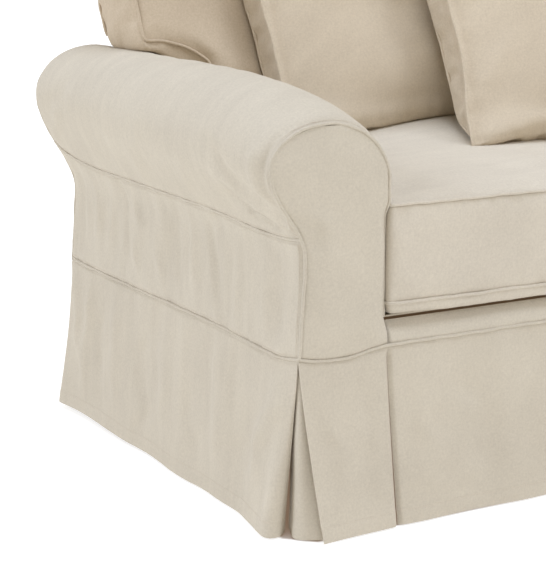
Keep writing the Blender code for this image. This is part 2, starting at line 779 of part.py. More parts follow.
def build_cushions(seat_material, back_material, pillow_material):
    for side, flip in (("left", np.asarray), ("right", mirrored)):
        build_seat_cushion(side, flip, seat_material)
        build_back_cushion(side, flip, back_material)
    rows = [dict(zip(PILLOW_COLUMNS, row)) for row in PILLOWS]
    for row in rows:
        build_pillow(row["name"], row, np.asarray, pillow_material)
    build_pillow("pillow_right", rows[0], mirrored, pillow_material)


def main():
    clear_scene()
    cover = make_material("cover_cloth", 1.0)
    skirt = make_material("skirt_cloth", 0.97)
    seat = make_material("seat_cloth", 1.03)
    back = make_material("back_cloth", 0.94)
    pillow = make_material("pillow_cloth", 0.98)
    build_arm("left", np.asarray, cover)
    build_arm("right", mirrored, cover)
    build_skirt(skirt)
    build_platform(cover)
    build_back(cover)
    build_cushions(seat, back, pillow)


main()
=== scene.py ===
import math

import bpy
import numpy as np
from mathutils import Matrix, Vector
from mathutils.kdtree import KDTree


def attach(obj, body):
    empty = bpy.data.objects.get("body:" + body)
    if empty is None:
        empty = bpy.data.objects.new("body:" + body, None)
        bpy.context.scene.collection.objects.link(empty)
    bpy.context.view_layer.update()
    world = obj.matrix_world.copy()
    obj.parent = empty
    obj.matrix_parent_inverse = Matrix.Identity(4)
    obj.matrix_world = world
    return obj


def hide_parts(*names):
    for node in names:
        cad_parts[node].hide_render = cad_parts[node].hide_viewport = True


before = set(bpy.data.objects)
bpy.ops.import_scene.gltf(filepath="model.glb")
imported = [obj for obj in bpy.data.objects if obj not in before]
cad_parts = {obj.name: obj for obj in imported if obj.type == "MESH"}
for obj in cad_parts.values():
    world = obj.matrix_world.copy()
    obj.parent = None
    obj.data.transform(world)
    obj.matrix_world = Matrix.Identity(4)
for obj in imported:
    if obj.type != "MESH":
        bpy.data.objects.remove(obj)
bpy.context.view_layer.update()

# Lengths are in metres. X runs from the left arm to the right one, Y from the front to
# the back and Z up from the hem. Tables give a place as out from the left arm's wall,
# back from the front of the arms and up from the hem.
cover = {
    "wallWidth": 1.700,      # over the outer arm walls
    "wallDepth": 0.875,      # from the arm fronts to the outside back
    "armWidth": 0.157,
    "cloth": 0.0025,         # thickness of a panel with its turned edges
    "gap": 0.0004,           # between two panels at a seam
    "skirtSeam": 0.287,      # height of the skirt's seam between the arms
    "deckHeight": 0.328,
    "fine": 0.0026,          # mesh spacing beside a seam
    "coarse": 0.0072,        # and away from it
    "fineReach": 0.012,      # how far from the seam it stays fine
    "farAway": 1000.0,       # stands for no seam at all
    "seamGroove": 0.0021,    # how far the cloth dips beside a seam
    "grooveWide": 0.0039,
    "foldDepth": 2.1,        # how strongly the folds show
    "ridgeLift": 0.0012,     # a seam's ridge stands this far out of the cloth
    "sharpAngle": 55.0,      # of the panels' cut edges, in degrees
}
# How far a fold wanders to its sides in half widths, how much its width and height
# vary, the size of the cells in which they do, and how its ends fade.
foldShape = {
    "wander": 0.7,
    "wanderCell": 0.045,
    "spread": 0.25,
    "spreadCell": 0.05,
    "uneven": 0.25,
    "unevenCell": 0.035,
    "fade": 0.35,
    "endShare": 0.15,
}
# Small gathers beside a seam: cells along and away from it, and how far they reach.
gathers = {
    "fine": (0.011, 0.030),
    "broad": (0.026, 0.060),
    "broadShare": 0.6,
    "reach": 0.020,
    "flatBeside": 0.004,
}
arm = {
    "depth": (0.000, 0.010, 0.030, 0.060, 0.120, 0.220, 0.400, 0.600, 0.750, 0.835, 0.860, 0.875),
    "top": (0.632, 0.642, 0.652, 0.662, 0.675, 0.684, 0.689, 0.692, 0.693, 0.693, 0.691, 0.684),
    "left": (
        -0.049, -0.055, -0.060, -0.062, -0.063, -0.063,
        -0.062, -0.060, -0.060, -0.060, -0.058, -0.053,
    ),
    "leftUp": (0.574, 0.575, 0.577, 0.580, 0.584, 0.589, 0.594, 0.598, 0.601, 0.602, 0.602, 0.602),
    "neck": (0.437, 0.437, 0.437, 0.437, 0.436, 0.434, 0.430, 0.427, 0.424, 0.422, 0.422, 0.422),
    "seam": (0.464, 0.463, 0.461, 0.459, 0.459, 0.467, 0.474, 0.477, 0.484, 0.500, 0.508, 0.512),
    "skirt": (0.284, 0.282, 0.279, 0.276, 0.277, 0.282, 0.285, 0.286, 0.288, 0.289, 0.287, 0.284),
    "topAt": 0.053,          # how far in the roll is highest
    "rightUp": 0.540,        # where its inner side turns upright
    "foot": -0.003,          # the wall leans out to here at the skirt seam
    "waist": 0.006,          # and in to here at the neck
    "turnBack": 0.014,       # the front panel rolls back beside the seat cushion
    "turnTop": 0.515,
    "turnFoot": 0.300,       # below this height it meets the border
    "cornerFrom": 0.770,     # from here to the back the wall curves in
    "cornerIn": 0.014,
    "puff": 0.005,
    "sleeveLong": 0.66,      # about, over the cloth, for the mesh spacing
    "wallLong": 0.19,
    "turnEdge": 0.004,       # the sleeve's part that rolls back with the panel
    "turnWide": 0.022,       # width of the panel's edge that rolls back
    "turnSoft": 0.030,       # over which the roll fades above
    "turnFootSoft": 0.035,   # and below
    "footHandle": (0.001, 0.050),
    "waistHandles": (0.045, (0.004, 0.055)),
    "leftHandle": 0.062,
    "outlinePoints": 60,     # on each of its four stretches
}
# Skirt panels in plan: the seam line and the hem line.
skirtSide = {
    "seamOut": (-0.003,) * 16,
    "seamBack": (0.003, 0.010, 0.020, 0.030, 0.060, 0.120, 0.220, 0.310,
                 0.400, 0.500, 0.600, 0.670, 0.760, 0.835, 0.860, 0.872),
    "hemOut": (-0.004, -0.020, -0.034, -0.040, -0.037, -0.026, -0.020, -0.019,
               -0.021, -0.017, -0.022, -0.023, -0.021, -0.030, -0.024, -0.008),
    "hemBack": (0.041, 0.030, 0.031, 0.042, 0.066, 0.122, 0.220, 0.310,
                0.400, 0.500, 0.600, 0.670, 0.762, 0.846, 0.863, 0.854),
}
skirtArmEnd = {
    "seamOut": (-0.003, 0.024, 0.058, 0.093, 0.128, 0.157),
    "seamUp": (0.284, 0.279, 0.276, 0.277, 0.283, 0.287),
    "hemOut": (0.024, 0.046, 0.074, 0.102, 0.134, 0.165),
    "flare": (0.033, 0.031, 0.028, 0.026, 0.025, 0.024),
}
pleatInsert = {
    "seamOut": (-0.0004, -0.0004, 0.0014, 0.0062, 0.0150, 0.0240, 0.0320),
    "seamBack": (0.0250, 0.0150, 0.0060, 0.0032, 0.0027, 0.0027, 0.0027),
    "hemOut": (0.014, 0.004, -0.003, 0.004, 0.014, 0.030, 0.044),
    "hemBack": (0.056, 0.032, 0.013, 0.000, -0.007, -0.016, -0.019),
    "drop": 0.010,
}
frontSkirt = {
    "flare": 0.020,
    "wave": 0.0025,
    "waves": 7,
    "slit": 0.004,
    "turned": 0.006,         # the slit's edges turn in
}


# Numbers along curves and over cloth
def ease(value):
    value = np.clip(value, 0.0, 1.0)
    return value * value * (3.0 - 2.0 * value)


def through(places, values, at):
    # a smooth curve through the table's values
    places, values = np.asarray(places, float), np.asarray(values, float)
    slopes = np.gradient(values, places)
    k = np.clip(np.searchsorted(places, at) - 1, 0, len(places) - 2)
    gap = places[k + 1] - places[k]
    t = np.clip((at - places[k]) / gap, 0.0, 1.0)
    near, far = values[k], values[k + 1]
    return (
        near * (1 + 2 * t) * (1 - t) ** 2
        + far * t * t * (3 - 2 * t)
        + gap * (slopes[k] * t * (1 - t) ** 2 - slopes[k + 1] * t * t * (1 - t))
    )


def stops(length, fineStart=True, fineEnd=True, coarse=None):
    # shares from 0 to 1 along a length, closer together beside a seam
    coarse = coarse or cover["coarse"]
    count = max(int(length / cover["fine"]) * 2, 8)
    at = np.linspace(0.0, length, count)
    reach = cover["fineReach"]
    near = np.full(count, cover["farAway"])
    if fineStart:
        near = np.minimum(near, at)
    if fineEnd:
        near = np.minimum(near, length - at)
    step = cover["fine"] + (coarse - cover["fine"]) * ease((near - reach) / reach)
    density = np.concatenate([[0.0], np.cumsum(np.diff(at) / step[:-1])])
    wanted = np.linspace(0.0, density[-1], max(int(round(density[-1])), 3) + 1)
    return np.interp(wanted, density, at) / length


def alongLine(line):
    steps = np.linalg.norm(np.diff(line, axis=0), axis=1)
    return np.concatenate([[0.0], np.cumsum(steps)])


def resampled(line, shares):
    along = alongLine(line)
    wanted = np.asarray(shares) * along[-1]
    return np.stack([np.interp(wanted, along, axis) for axis in np.asarray(line).T], axis=1)


def cloud(across, along, cellAcross, cellAlong, seed):
    # smooth noise from -1 to 1, in cells of the given size
    rng = np.random.default_rng(seed)
    x = across / cellAcross + 50.0 + rng.uniform()
    y = along / cellAlong + 50.0 + rng.uniform()
    low = np.floor([x.min(), y.min()]).astype(int)
    size = np.ceil([x.max(), y.max()]).astype(int) - low + 3
    table = rng.uniform(-1.0, 1.0, size)
    i, j = np.floor(x).astype(int), np.floor(y).astype(int)
    fx, fy = x - i, y - j
    fx, fy = fx**3 * (fx * (6 * fx - 15) + 10), fy**3 * (fy * (6 * fy - 15) + 10)
    i, j = i - low[0], j - low[1]
    near = table[i, j] * (1 - fx) + table[i + 1, j] * fx
    far = table[i, j + 1] * (1 - fx) + table[i + 1, j + 1] * fx
    return near * (1 - fy) + far * fy


def rough(across, along, row, seed):
    # unevenness of a height, in cells of the given size across and along
    high, cellAcross, cellAlong = row
    return high * cloud(across, along, cellAcross, cellAlong, seed)


def foldHeight(across, along, folds, seed):
    # Each fold runs from one place on the cloth to another: fromAcross, fromAlong,
    # toAcross, toAlong, half width and height; a trough has a height below zero.
    shape = foldShape
    total = np.zeros_like(across)
    for number, (a0, b0, a1, b1, wide, high) in enumerate(folds):
        run = np.array([a1 - a0, b1 - b0])
        length = np.linalg.norm(run)
        run /= length
        t = (across - a0) * run[0] + (along - b0) * run[1]
        side = (along - b0) * run[0] - (across - a0) * run[1]
        level = np.zeros_like(t)
        side = side + shape["wander"] * wide * cloud(t, level, shape["wanderCell"], 1.0, seed + number)
        spread = 1.0 + shape["spread"] * cloud(t, level, shape["spreadCell"], 1.0, seed + 50 + number)
        spread = wide * spread
        uneven = 1.0 + shape["uneven"] * cloud(t, level, shape["unevenCell"], 1.0, seed + 90 + number)
        fadeLong = shape["fade"] * length
        fade = ease(t / fadeLong + shape["endShare"]) * ease((length - t) / fadeLong + shape["endShare"])
        total += high * fade * uneven * np.exp(-((side / spread) ** 2))
    return total * cover["foldDepth"]


def place(points):
    offset = (cover["wallWidth"] / 2, cover["wallDepth"] / 2, 0.0)
    return np.asarray(points, float) - offset


def flipped(points):
    return np.asarray(points, float) * (-1.0, 1.0, 1.0)


def gridNormals(grid, core):
    normals = np.cross(np.gradient(grid, axis=0), np.gradient(grid, axis=1))
    normals /= np.maximum(np.linalg.norm(normals, axis=2, keepdims=True), 1e-12)
    if np.median(np.einsum("ijk,ijk->ij", normals, grid - np.asarray(core))) < 0:
        normals = -normals
    return normals


def edgeDistance(grid, sides):
    # distance over the cloth to the sewn sides: any of first, last, low, high
    down = np.cumsum(np.linalg.norm(np.diff(grid, axis=0), axis=2), axis=0)
    down = np.concatenate([np.zeros((1, grid.shape[1])), down])
    over = np.cumsum(np.linalg.norm(np.diff(grid, axis=1), axis=2), axis=1)
    over = np.concatenate([np.zeros((grid.shape[0], 1)), over], axis=1)
    distance = np.full(grid.shape[:2], cover["farAway"])
    if "first" in sides:
        distance = np.minimum(distance, down)
    if "last" in sides:
        distance = np.minimum(distance, down[-1] - down)
    if "low" in sides:
        distance = np.minimum(distance, over)
    if "high" in sides:
        distance = np.minimum(distance, over[:, -1:] - over)
    return distance


def groove(distance):
    return -cover["seamGroove"] * np.exp(-((distance / cover["grooveWide"]) ** 2))


def pucker(distance, along, strength, seed):
    # small gathers that fade within a few centimetres of a seam
    ripple = cloud(along, distance, *gathers["fine"], seed)
    ripple = ripple + gathers["broadShare"] * cloud(along, distance, *gathers["broad"], seed + 1)
    fade = np.exp(-distance / gathers["reach"])
    return strength * ripple * fade * ease(distance / gathers["flatBeside"])


# The woven cloth
yarn = {
    "threads": 900.0,        # per metre
    "slub": 0.6,
    "weft": (70.0, 620.0, 300.0),
    "warp": (620.0, 60.0, 300.0),
    "detail": 3.0,
    "roughness": 0.6,
    "slubHeight": 1.5,
}
# Scale, detail, roughness and share of each unevenness in the cloth's tone after washing; the crease
# entries paint the shade of folds as streaks.
washAndPaintedStreaks = {
    "broad": (7.0, 4.0, 0.5, 0.27),
    "speck": (290.0, 3.0, 0.5, 0.47),
    "crease": (1.0, 3.0, 0.6, 0.26),
    "paintedStreakStretch": (9.0, 44.0, 7.0),
    "amount": 3.7,
}
clothFinish = {
    "roughness": 0.92,
    "sheen": 0.08,
    "sheenRoughness": 0.45,
    "sheenTint": (1.0, 0.97, 0.92, 1.0),
    "specular": 0.25,
    "weaveShare": 0.5,
    "bump": 0.25,
    "bumpHeight": 0.0006,
}


def groupSocket(tree, name, kind, direction, value=None):
    made = tree.interface.new_socket(name=name, in_out=direction, socket_type=kind)
    if value is not None:
        made.default_value = value
    return made.identifier


def addNode(tree, kind, settings=None, **inputs):
    made = tree.nodes.new(kind)
    for key, value in (settings or {}).items():
        setattr(made, key, value)
    for key, value in inputs.items():
        numbered = key[0] == "i" and key[1:].isdigit()
        socket = made.inputs[int(key[1:])] if numbered else made.inputs[key]
        if isinstance(value, bpy.types.NodeSocket):
            tree.links.new(value, socket)
        else:
            socket.default_value = value
    return made


def mathNode(tree, operation, *values):
    inputs = {f"i{number}": value for number, value in enumerate(values)}
    return addNode(tree, "ShaderNodeMath", {"operation": operation}, **inputs).outputs[0]


def noiseNode(tree, where, scale, detail, roughness):
    made = addNode(tree, "ShaderNodeTexNoise", None, i0=where, Scale=scale, Detail=detail)
    made.inputs["Roughness"].default_value = roughness
    return made.outputs[0]


def makeWeaveGroup():
    # Plain weave of slubby yarn. Place is in metres over the cloth, u along the weft.
    tree = bpy.data.node_groups.new("plainWeave", "ShaderNodeTree")
    groupSocket(tree, "Place", "NodeSocketVector", "INPUT")
    groupSocket(tree, "Threads per metre", "NodeSocketFloat", "INPUT", yarn["threads"])
    groupSocket(tree, "Slub", "NodeSocketFloat", "INPUT", yarn["slub"])
    groupSocket(tree, "Tint", "NodeSocketFloat", "OUTPUT")
    groupSocket(tree, "Height", "NodeSocketFloat", "OUTPUT")
    enter = tree.nodes.new("NodeGroupInput")
    leave = tree.nodes.new("NodeGroupOutput")
    where, threads, slub = enter.outputs[0], enter.outputs[1], enter.outputs[2]
    scaled = addNode(tree, "ShaderNodeVectorMath", {"operation": "SCALE"}, i0=where, Scale=threads)
    parts = addNode(tree, "ShaderNodeSeparateXYZ", None, i0=scaled.outputs[0])
    weft = mathNode(tree, "SINE", mathNode(tree, "MULTIPLY", parts.outputs[0], math.pi))
    warp = mathNode(tree, "SINE", mathNode(tree, "MULTIPLY", parts.outputs[1], math.pi))
    crossing = mathNode(tree, "MULTIPLY", weft, warp)

    def yarnNoise(stretch):
        mapped = addNode(tree, "ShaderNodeVectorMath", {"operation": "MULTIPLY"}, i0=where, i1=stretch)
        return noiseNode(tree, mapped.outputs[0], 1.0, yarn["detail"], yarn["roughness"])

    weftYarn = yarnNoise(yarn["weft"])
    warpYarn = yarnNoise(yarn["warp"])
    slubbed = mathNode(tree, "MULTIPLY", mathNode(tree, "ADD", weftYarn, warpYarn), 0.5)
    centred = mathNode(tree, "SUBTRACT", slubbed, 0.5)
    tint = mathNode(tree, "MULTIPLY_ADD", mathNode(tree, "MULTIPLY", centred, slub), 2.0, 0.5)
    lumps = mathNode(tree, "MULTIPLY", centred, yarn["slubHeight"])
    height = mathNode(tree, "MULTIPLY_ADD", crossing, 0.5, lumps)
    tree.links.new(tint, leave.inputs[0])
    tree.links.new(height, leave.inputs[1])
    return tree


def makeWashAndStreakGroup():
    # Broad, faint unevenness of the cloth's tone after washing, and painted fold shade in streaks.
    tree = bpy.data.node_groups.new("washedToneAndPaintedStreaks", "ShaderNodeTree")
    groupSocket(tree, "Amount", "NodeSocketFloat", "INPUT", 0.5)
    groupSocket(tree, "Tone", "NodeSocketFloat", "OUTPUT")
    enter = tree.nodes.new("NodeGroupInput")
    leave = tree.nodes.new("NodeGroupOutput")
    coords = tree.nodes.new("ShaderNodeTexCoord").outputs["Object"]
    broad = noiseNode(tree, coords, *washAndPaintedStreaks["broad"][:3])
    speck = noiseNode(tree, coords, *washAndPaintedStreaks["speck"][:3])
    # painted fold shade: paler streaks that run down the side walls
    narrowed = addNode(
        tree, "ShaderNodeVectorMath", {"operation": "MULTIPLY"}, i0=coords, i1=washAndPaintedStreaks["paintedStreakStretch"]
    )
    crease = noiseNode(tree, narrowed.outputs[0], *washAndPaintedStreaks["crease"][:3])
    broad = mathNode(tree, "MULTIPLY", broad, washAndPaintedStreaks["broad"][3])
    speck = mathNode(tree, "MULTIPLY", speck, washAndPaintedStreaks["speck"][3])
    both = mathNode(tree, "ADD", broad, speck)
    both = mathNode(tree, "MULTIPLY_ADD", crease, washAndPaintedStreaks["crease"][3], both)
    tone = mathNode(tree, "MULTIPLY_ADD", mathNode(tree, "SUBTRACT", both, 0.5), enter.outputs[0], 0.5)
    tree.links.new(tone, leave.inputs[0])
    return tree


weaveGroup = makeWeaveGroup()
washAndStreakGroup = makeWashAndStreakGroup()


def makeCloth(name, light, dark):
    material = bpy.data.materials.new(name)
    material.use_nodes = True
    tree = material.node_tree
    surface = tree.nodes["Principled BSDF"]
    surface.inputs["Roughness"].default_value = clothFinish["roughness"]
    surface.inputs["Sheen Weight"].default_value = clothFinish["sheen"]
    surface.inputs["Sheen Roughness"].default_value = clothFinish["sheenRoughness"]
    surface.inputs["Sheen Tint"].default_value = clothFinish["sheenTint"]
    surface.inputs["Specular IOR Level"].default_value = clothFinish["specular"]
    coords = addNode(tree, "ShaderNodeUVMap", {"uv_map": "cloth"}).outputs[0]
    weave = addNode(tree, "ShaderNodeGroup", {"node_tree": weaveGroup}, i0=coords)
    weave.inputs["Threads per metre"].default_value = yarn["threads"]
    weave.inputs["Slub"].default_value = yarn["slub"]
    washAndStreaks = addNode(tree, "ShaderNodeGroup", {"node_tree": washAndStreakGroup})
    washAndStreaks.inputs["Amount"].default_value = washAndPaintedStreaks["amount"]
    woven = mathNode(tree, "MULTIPLY", weave.outputs["Tint"], clothFinish["weaveShare"])
    # the tone after washing carries the painted fold shade in streaks
    wornAndPaintedShade = mathNode(tree, "MULTIPLY", washAndStreaks.outputs["Tone"], 1.0 - clothFinish["weaveShare"])
    tone = mathNode(tree, "ADD", woven, wornAndPaintedShade)
    mixed = addNode(tree, "ShaderNodeMix", {"data_type": "RGBA"}, i0=tone)
    mixed.inputs[6].default_value = (*dark, 1.0)
    mixed.inputs[7].default_value = (*light, 1.0)
    tree.links.new(mixed.outputs[2], surface.inputs["Base Color"])
    raised = tree.nodes.new("ShaderNodeBump")
    raised.inputs["Strength"].default_value = clothFinish["bump"]
    raised.inputs["Distance"].default_value = clothFinish["bumpHeight"]
    tree.links.new(weave.outputs["Height"], raised.inputs["Height"])
    tree.links.new(raised.outputs[0], surface.inputs["Normal"])
    return material


# the lighter and the darker tone of each cloth; the back cushions' tones are darker and warmer, and the
# pillows' warmer, than the cover's, to paint the warm shade of their crevices
clothTones = {
    "cover_cloth": ((0.634, 0.575, 0.464), (0.469, 0.420, 0.340)),
    "skirt_cloth": ((0.614, 0.555, 0.446), (0.456, 0.406, 0.327)),
    "seat_cloth": ((0.668, 0.607, 0.497), (0.499, 0.446, 0.366)),
    "back_cloth": ((0.624, 0.522, 0.386), (0.431, 0.347, 0.249)),
    "pillow_cloth": ((0.680, 0.588, 0.450), (0.492, 0.414, 0.311)),
}
cloths = {name: makeCloth(name + "_weave", *tones) for name, tones in clothTones.items()}
print("cloth materials made")


# Panels as thin closed sheets
def thickCloth(name, outer, coords, core, material):
    outer = np.asarray(outer, float)
    normals = gridNormals(outer, core)
    inner = outer - normals * cover["cloth"]
    rows, cols = outer.shape[:2]
    under = rows * cols
    at = np.arange(under).reshape(rows, cols)
    quads = np.stack([at[:-1, :-1], at[:-1, 1:], at[1:, 1:], at[1:, :-1]], axis=-1).reshape(-1, 4)
    middle = (rows // 2, cols // 2)
    a = outer[middle[0], middle[1] + 1] - outer[middle]
    b = outer[middle[0] + 1, middle[1]] - outer[middle]
    if np.dot(np.cross(a, b), normals[middle]) < 0:
        quads = quads[:, ::-1]
    rim = np.concatenate([at[0, :-1], at[:-1, -1], at[-1, :0:-1], at[:0:-1, 0]])
    after = np.roll(rim, -1)
    walls = np.stack([rim, after, after + under, rim + under], axis=-1)
    if np.dot(np.cross(a, b), normals[middle]) > 0:
        walls = walls[:, ::-1]
    faces = np.concatenate([quads, quads[:, ::-1] + under, walls])
    points = np.concatenate([outer.reshape(-1, 3), inner.reshape(-1, 3)])
    mesh = bpy.data.meshes.new(name)
    mesh.from_pydata(points.tolist(), [], faces.tolist())
    uv = np.concatenate([coords.reshape(-1, 2)] * 2)
    corners = np.empty(len(mesh.loops), dtype=np.int32)
    mesh.loops.foreach_get("vertex_index", corners)
    layer = mesh.uv_layers.new(name="cloth")
    layer.data.foreach_set("uv", uv[corners].ravel())
    mesh.materials.append(material)
    mesh.shade_smooth()
    mesh.set_sharp_from_angle(angle=math.radians(cover["sharpAngle"]))
    made = bpy.data.objects.new(name, mesh)
    bpy.context.scene.collection.objects.link(made)
    return made


def clothCoords(grid):
    # metres over the cloth, measured down its middle column and along each row
    down = alongLine(grid[:, grid.shape[1] // 2])
    over = np.stack([alongLine(row) for row in grid])
    return np.stack(np.broadcast_arrays(down[:, None], over), axis=-1)


def sheetPiece(name, node, grid, coords, core, slotName):
    piece = thickCloth(name, grid, coords, core, cloths[slotName])
    steps = grid[1:, :-1] - grid[:-1, :-1], grid[:-1, 1:] - grid[:-1, :-1]
    area = float(np.linalg.norm(np.cross(*steps), axis=2).sum())
    down, over = coords[-1, :, 0].max(), np.ptp(coords[..., 1], axis=1).max()
    # rounded up to a tenth of a millimetre
    flat = (math.ceil(over * 1e4) / 1e4, math.ceil(down * 1e4) / 1e4)
    area = min(area, flat[0] * flat[1] * 0.999)
    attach(piece, "root")
    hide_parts(node)


# Seams: a narrow ridge of turned cloth along every joint, and rows of stitches
seam = {
    "wide": 0.0027,          # half the ridge's width
    "high": 0.0022,
    "softWide": 0.0027,      # the same on the cushions
    "softHigh": 0.0030,
    "spacing": 0.0055,
    "wobble": 0.0014,
    "wander": (20.0, 4.0),   # scale and strength of the noise that moves it
    "swell": (60.0, 0.5, 0.75),  # the same for its thickness, and the least of that
    "ridgeSides": 8,
    "threadSides": 5,
    "pitch": 0.0042,         # from stitch to stitch
    "thread": 0.00042,
    "stitch": 0.0029,
    "unevenness": 0.10,      # of the stitches' size
    "rowBeside": 0.0072,     # a row of stitches lies this far from its seam
    "hemRow": 0.024,
}


def treeWith(name, inputs):
    tree = bpy.data.node_groups.new(name, "GeometryNodeTree")
    groupSocket(tree, "Path", "NodeSocketGeometry", "INPUT")
    sockets = {label: groupSocket(tree, label, kind, "INPUT", value) for label, kind, value in inputs}
    groupSocket(tree, "Mesh", "NodeSocketGeometry", "OUTPUT")
    return tree, sockets


def evenCurve(tree, path, spacing):
    curve = addNode(tree, "GeometryNodeMeshToCurve", None, Mesh=path).outputs[0]
    settings = {"mode": "LENGTH"}
    return addNode(tree, "GeometryNodeResampleCurve", settings, Curve=curve, Length=spacing).outputs[0]


def finishTree(tree, geometry, material):
    realized = addNode(tree, "GeometryNodeRealizeInstances", None, i0=geometry).outputs[0]
    dressed = addNode(tree, "GeometryNodeSetMaterial", None, Geometry=realized, Material=material)
    addNode(tree, "NodeGroupOutput", None, i0=dressed.outputs[0])


def makeWeltTree():
    tree, sockets = treeWith(
        "weltAlongSeam",
        (
            ("Half width", "NodeSocketFloat", seam["wide"]),
            ("Height", "NodeSocketFloat", seam["high"]),
            ("Spacing", "NodeSocketFloat", seam["spacing"]),
            ("Wobble", "NodeSocketFloat", seam["wobble"]),
            ("Seed", "NodeSocketFloat", 1.0),
            ("Material", "NodeSocketMaterial", None),
        ),
    )
    given = tree.nodes.new("NodeGroupInput").outputs
    curve = evenCurve(tree, given["Path"], given["Spacing"])
    away = addNode(tree, "GeometryNodeInputNamedAttribute", {"data_type": "FLOAT_VECTOR"}, Name="away")
    curve = addNode(
        tree, "GeometryNodeSetCurveNormal", {"mode": "FREE"}, Curve=curve, Normal=away.outputs[0]
    ).outputs[0]
    # the ridge wanders from its line, and its thickness changes along it
    seeded = {"noise_dimensions": "4D"}
    scale, strength = seam["wander"]
    noise = addNode(tree, "ShaderNodeTexNoise", seeded, W=given["Seed"], Scale=scale, Detail=2.0)
    centred = addNode(
        tree, "ShaderNodeVectorMath", {"operation": "SUBTRACT"}, i0=noise.outputs[1], i1=(0.5, 0.5, 0.5)
    )
    spread = mathNode(tree, "MULTIPLY", given["Wobble"], strength)
    offset = addNode(
        tree, "ShaderNodeVectorMath", {"operation": "SCALE"}, i0=centred.outputs[0], Scale=spread
    )
    curve = addNode(
        tree, "GeometryNodeSetPosition", None, Geometry=curve, Offset=offset.outputs[0]
    ).outputs[0]
    scale, strength, least = seam["swell"]
    swell = addNode(tree, "ShaderNodeTexNoise", seeded, W=given["Seed"], Scale=scale, Detail=0.0)
    thick = mathNode(tree, "MULTIPLY_ADD", swell.outputs[0], strength, least)
    curve = addNode(tree, "GeometryNodeSetCurveRadius", None, Curve=curve, Radius=thick).outputs[0]
    # the lengths along and around the ridge carry the weave over it
    run = addNode(tree, "GeometryNodeSplineParameter", None).outputs["Length"]

    def withLength(geometry, name):
        kept = tree.nodes.new("GeometryNodeCaptureAttribute")
        kept.capture_items.new("FLOAT", name)
        tree.links.new(geometry, kept.inputs[0])
        tree.links.new(run, kept.inputs[1])
        return kept.outputs

    along = withLength(curve, "along")
    ring = addNode(
        tree, "GeometryNodeCurvePrimitiveCircle", {"mode": "RADIUS"},
        Resolution=seam["ridgeSides"], Radius=1.0,
    )
    shape = addNode(
        tree, "ShaderNodeCombineXYZ", None, i0=given["Height"], i1=given["Half width"], i2=1.0
    ).outputs[0]
    ring = addNode(tree, "GeometryNodeTransform", None, Geometry=ring.outputs[0], Scale=shape)
    around = withLength(ring.outputs[0], "around")
    tube = tree.nodes.new("GeometryNodeCurveToMesh")
    tree.links.new(along[0], tube.inputs["Curve"])
    tree.links.new(around[0], tube.inputs["Profile Curve"])
    tube.inputs["Fill Caps"].default_value = True
    clothPlace = addNode(tree, "ShaderNodeCombineXYZ", None, i0=along[1], i1=around[1]).outputs[0]
    woven = addNode(
        tree, "GeometryNodeStoreNamedAttribute", {"data_type": "FLOAT2", "domain": "CORNER"},
        Geometry=tube.outputs[0], Name="cloth", Value=clothPlace,
    ).outputs[0]
    smooth = addNode(tree, "GeometryNodeSetShadeSmooth", None, i0=woven).outputs[0]
    finishTree(tree, smooth, given["Material"])
    return tree, sockets


def makeStitchTree():
    tree, sockets = treeWith(
        "stitchRow",
        (
            ("Pitch", "NodeSocketFloat", seam["pitch"]),
            ("Length", "NodeSocketFloat", seam["stitch"]),
            ("Thread radius", "NodeSocketFloat", seam["thread"]),
            ("Unevenness", "NodeSocketFloat", seam["unevenness"]),
            ("Seed", "NodeSocketInt", 1),
            ("Material", "NodeSocketMaterial", None),
        ),
    )
    given = tree.nodes.new("NodeGroupInput").outputs
    curve = evenCurve(tree, given["Path"], given["Pitch"])
    points = addNode(tree, "GeometryNodeCurveToPoints", {"mode": "EVALUATED"}, Curve=curve)
    stitch = addNode(
        tree, "GeometryNodeMeshCylinder", {"fill_type": "NGON"},
        Vertices=seam["threadSides"], Radius=given["Thread radius"], Depth=given["Length"],
    ).outputs[0]
    less = mathNode(tree, "SUBTRACT", 1.0, given["Unevenness"])
    more = mathNode(tree, "ADD", 1.0, given["Unevenness"])
    size = addNode(tree, "FunctionNodeRandomValue", {"data_type": "FLOAT"}, Seed=given["Seed"])
    tree.links.new(less, size.inputs[2])
    tree.links.new(more, size.inputs[3])
    row = addNode(
        tree, "GeometryNodeInstanceOnPoints", None,
        Points=points.outputs[0], Instance=stitch,
        Rotation=points.outputs["Rotation"], Scale=size.outputs[1],
    ).outputs[0]
    finishTree(tree, row, given["Material"])
    return tree, sockets


seamPaths, stitchPaths = {}, {}


def addPath(paths, group, points, away, closed=False):
    away = np.asarray(away, float)
    away = away / np.maximum(np.linalg.norm(away, axis=1, keepdims=True), 1e-9)
    paths.setdefault(group, []).append((np.asarray(points, float), away, closed))


def rowBeside(grid, normals, side, distance):
    # the line over a grid at a distance from one of its sides, and what points away there
    if side in ("low", "high"):
        grid, normals = grid.transpose(1, 0, 2), normals.transpose(1, 0, 2)
    if side in ("last", "high"):
        grid, normals = grid[::-1], normals[::-1]
    line, away = [], []
    for number in range(grid.shape[1]):
        along = alongLine(grid[:, number])
        line.append([np.interp(distance, along, axis) for axis in grid[:, number].T])
        away.append(normals[int(np.searchsorted(along, distance)), number])
    return np.array(line), np.array(away)


def stitchBeside(group, grid, core, side, distance=seam["rowBeside"]):
    line, away = rowBeside(grid, gridNormals(grid, core), side, distance)
    addPath(stitchPaths, group, line, away)


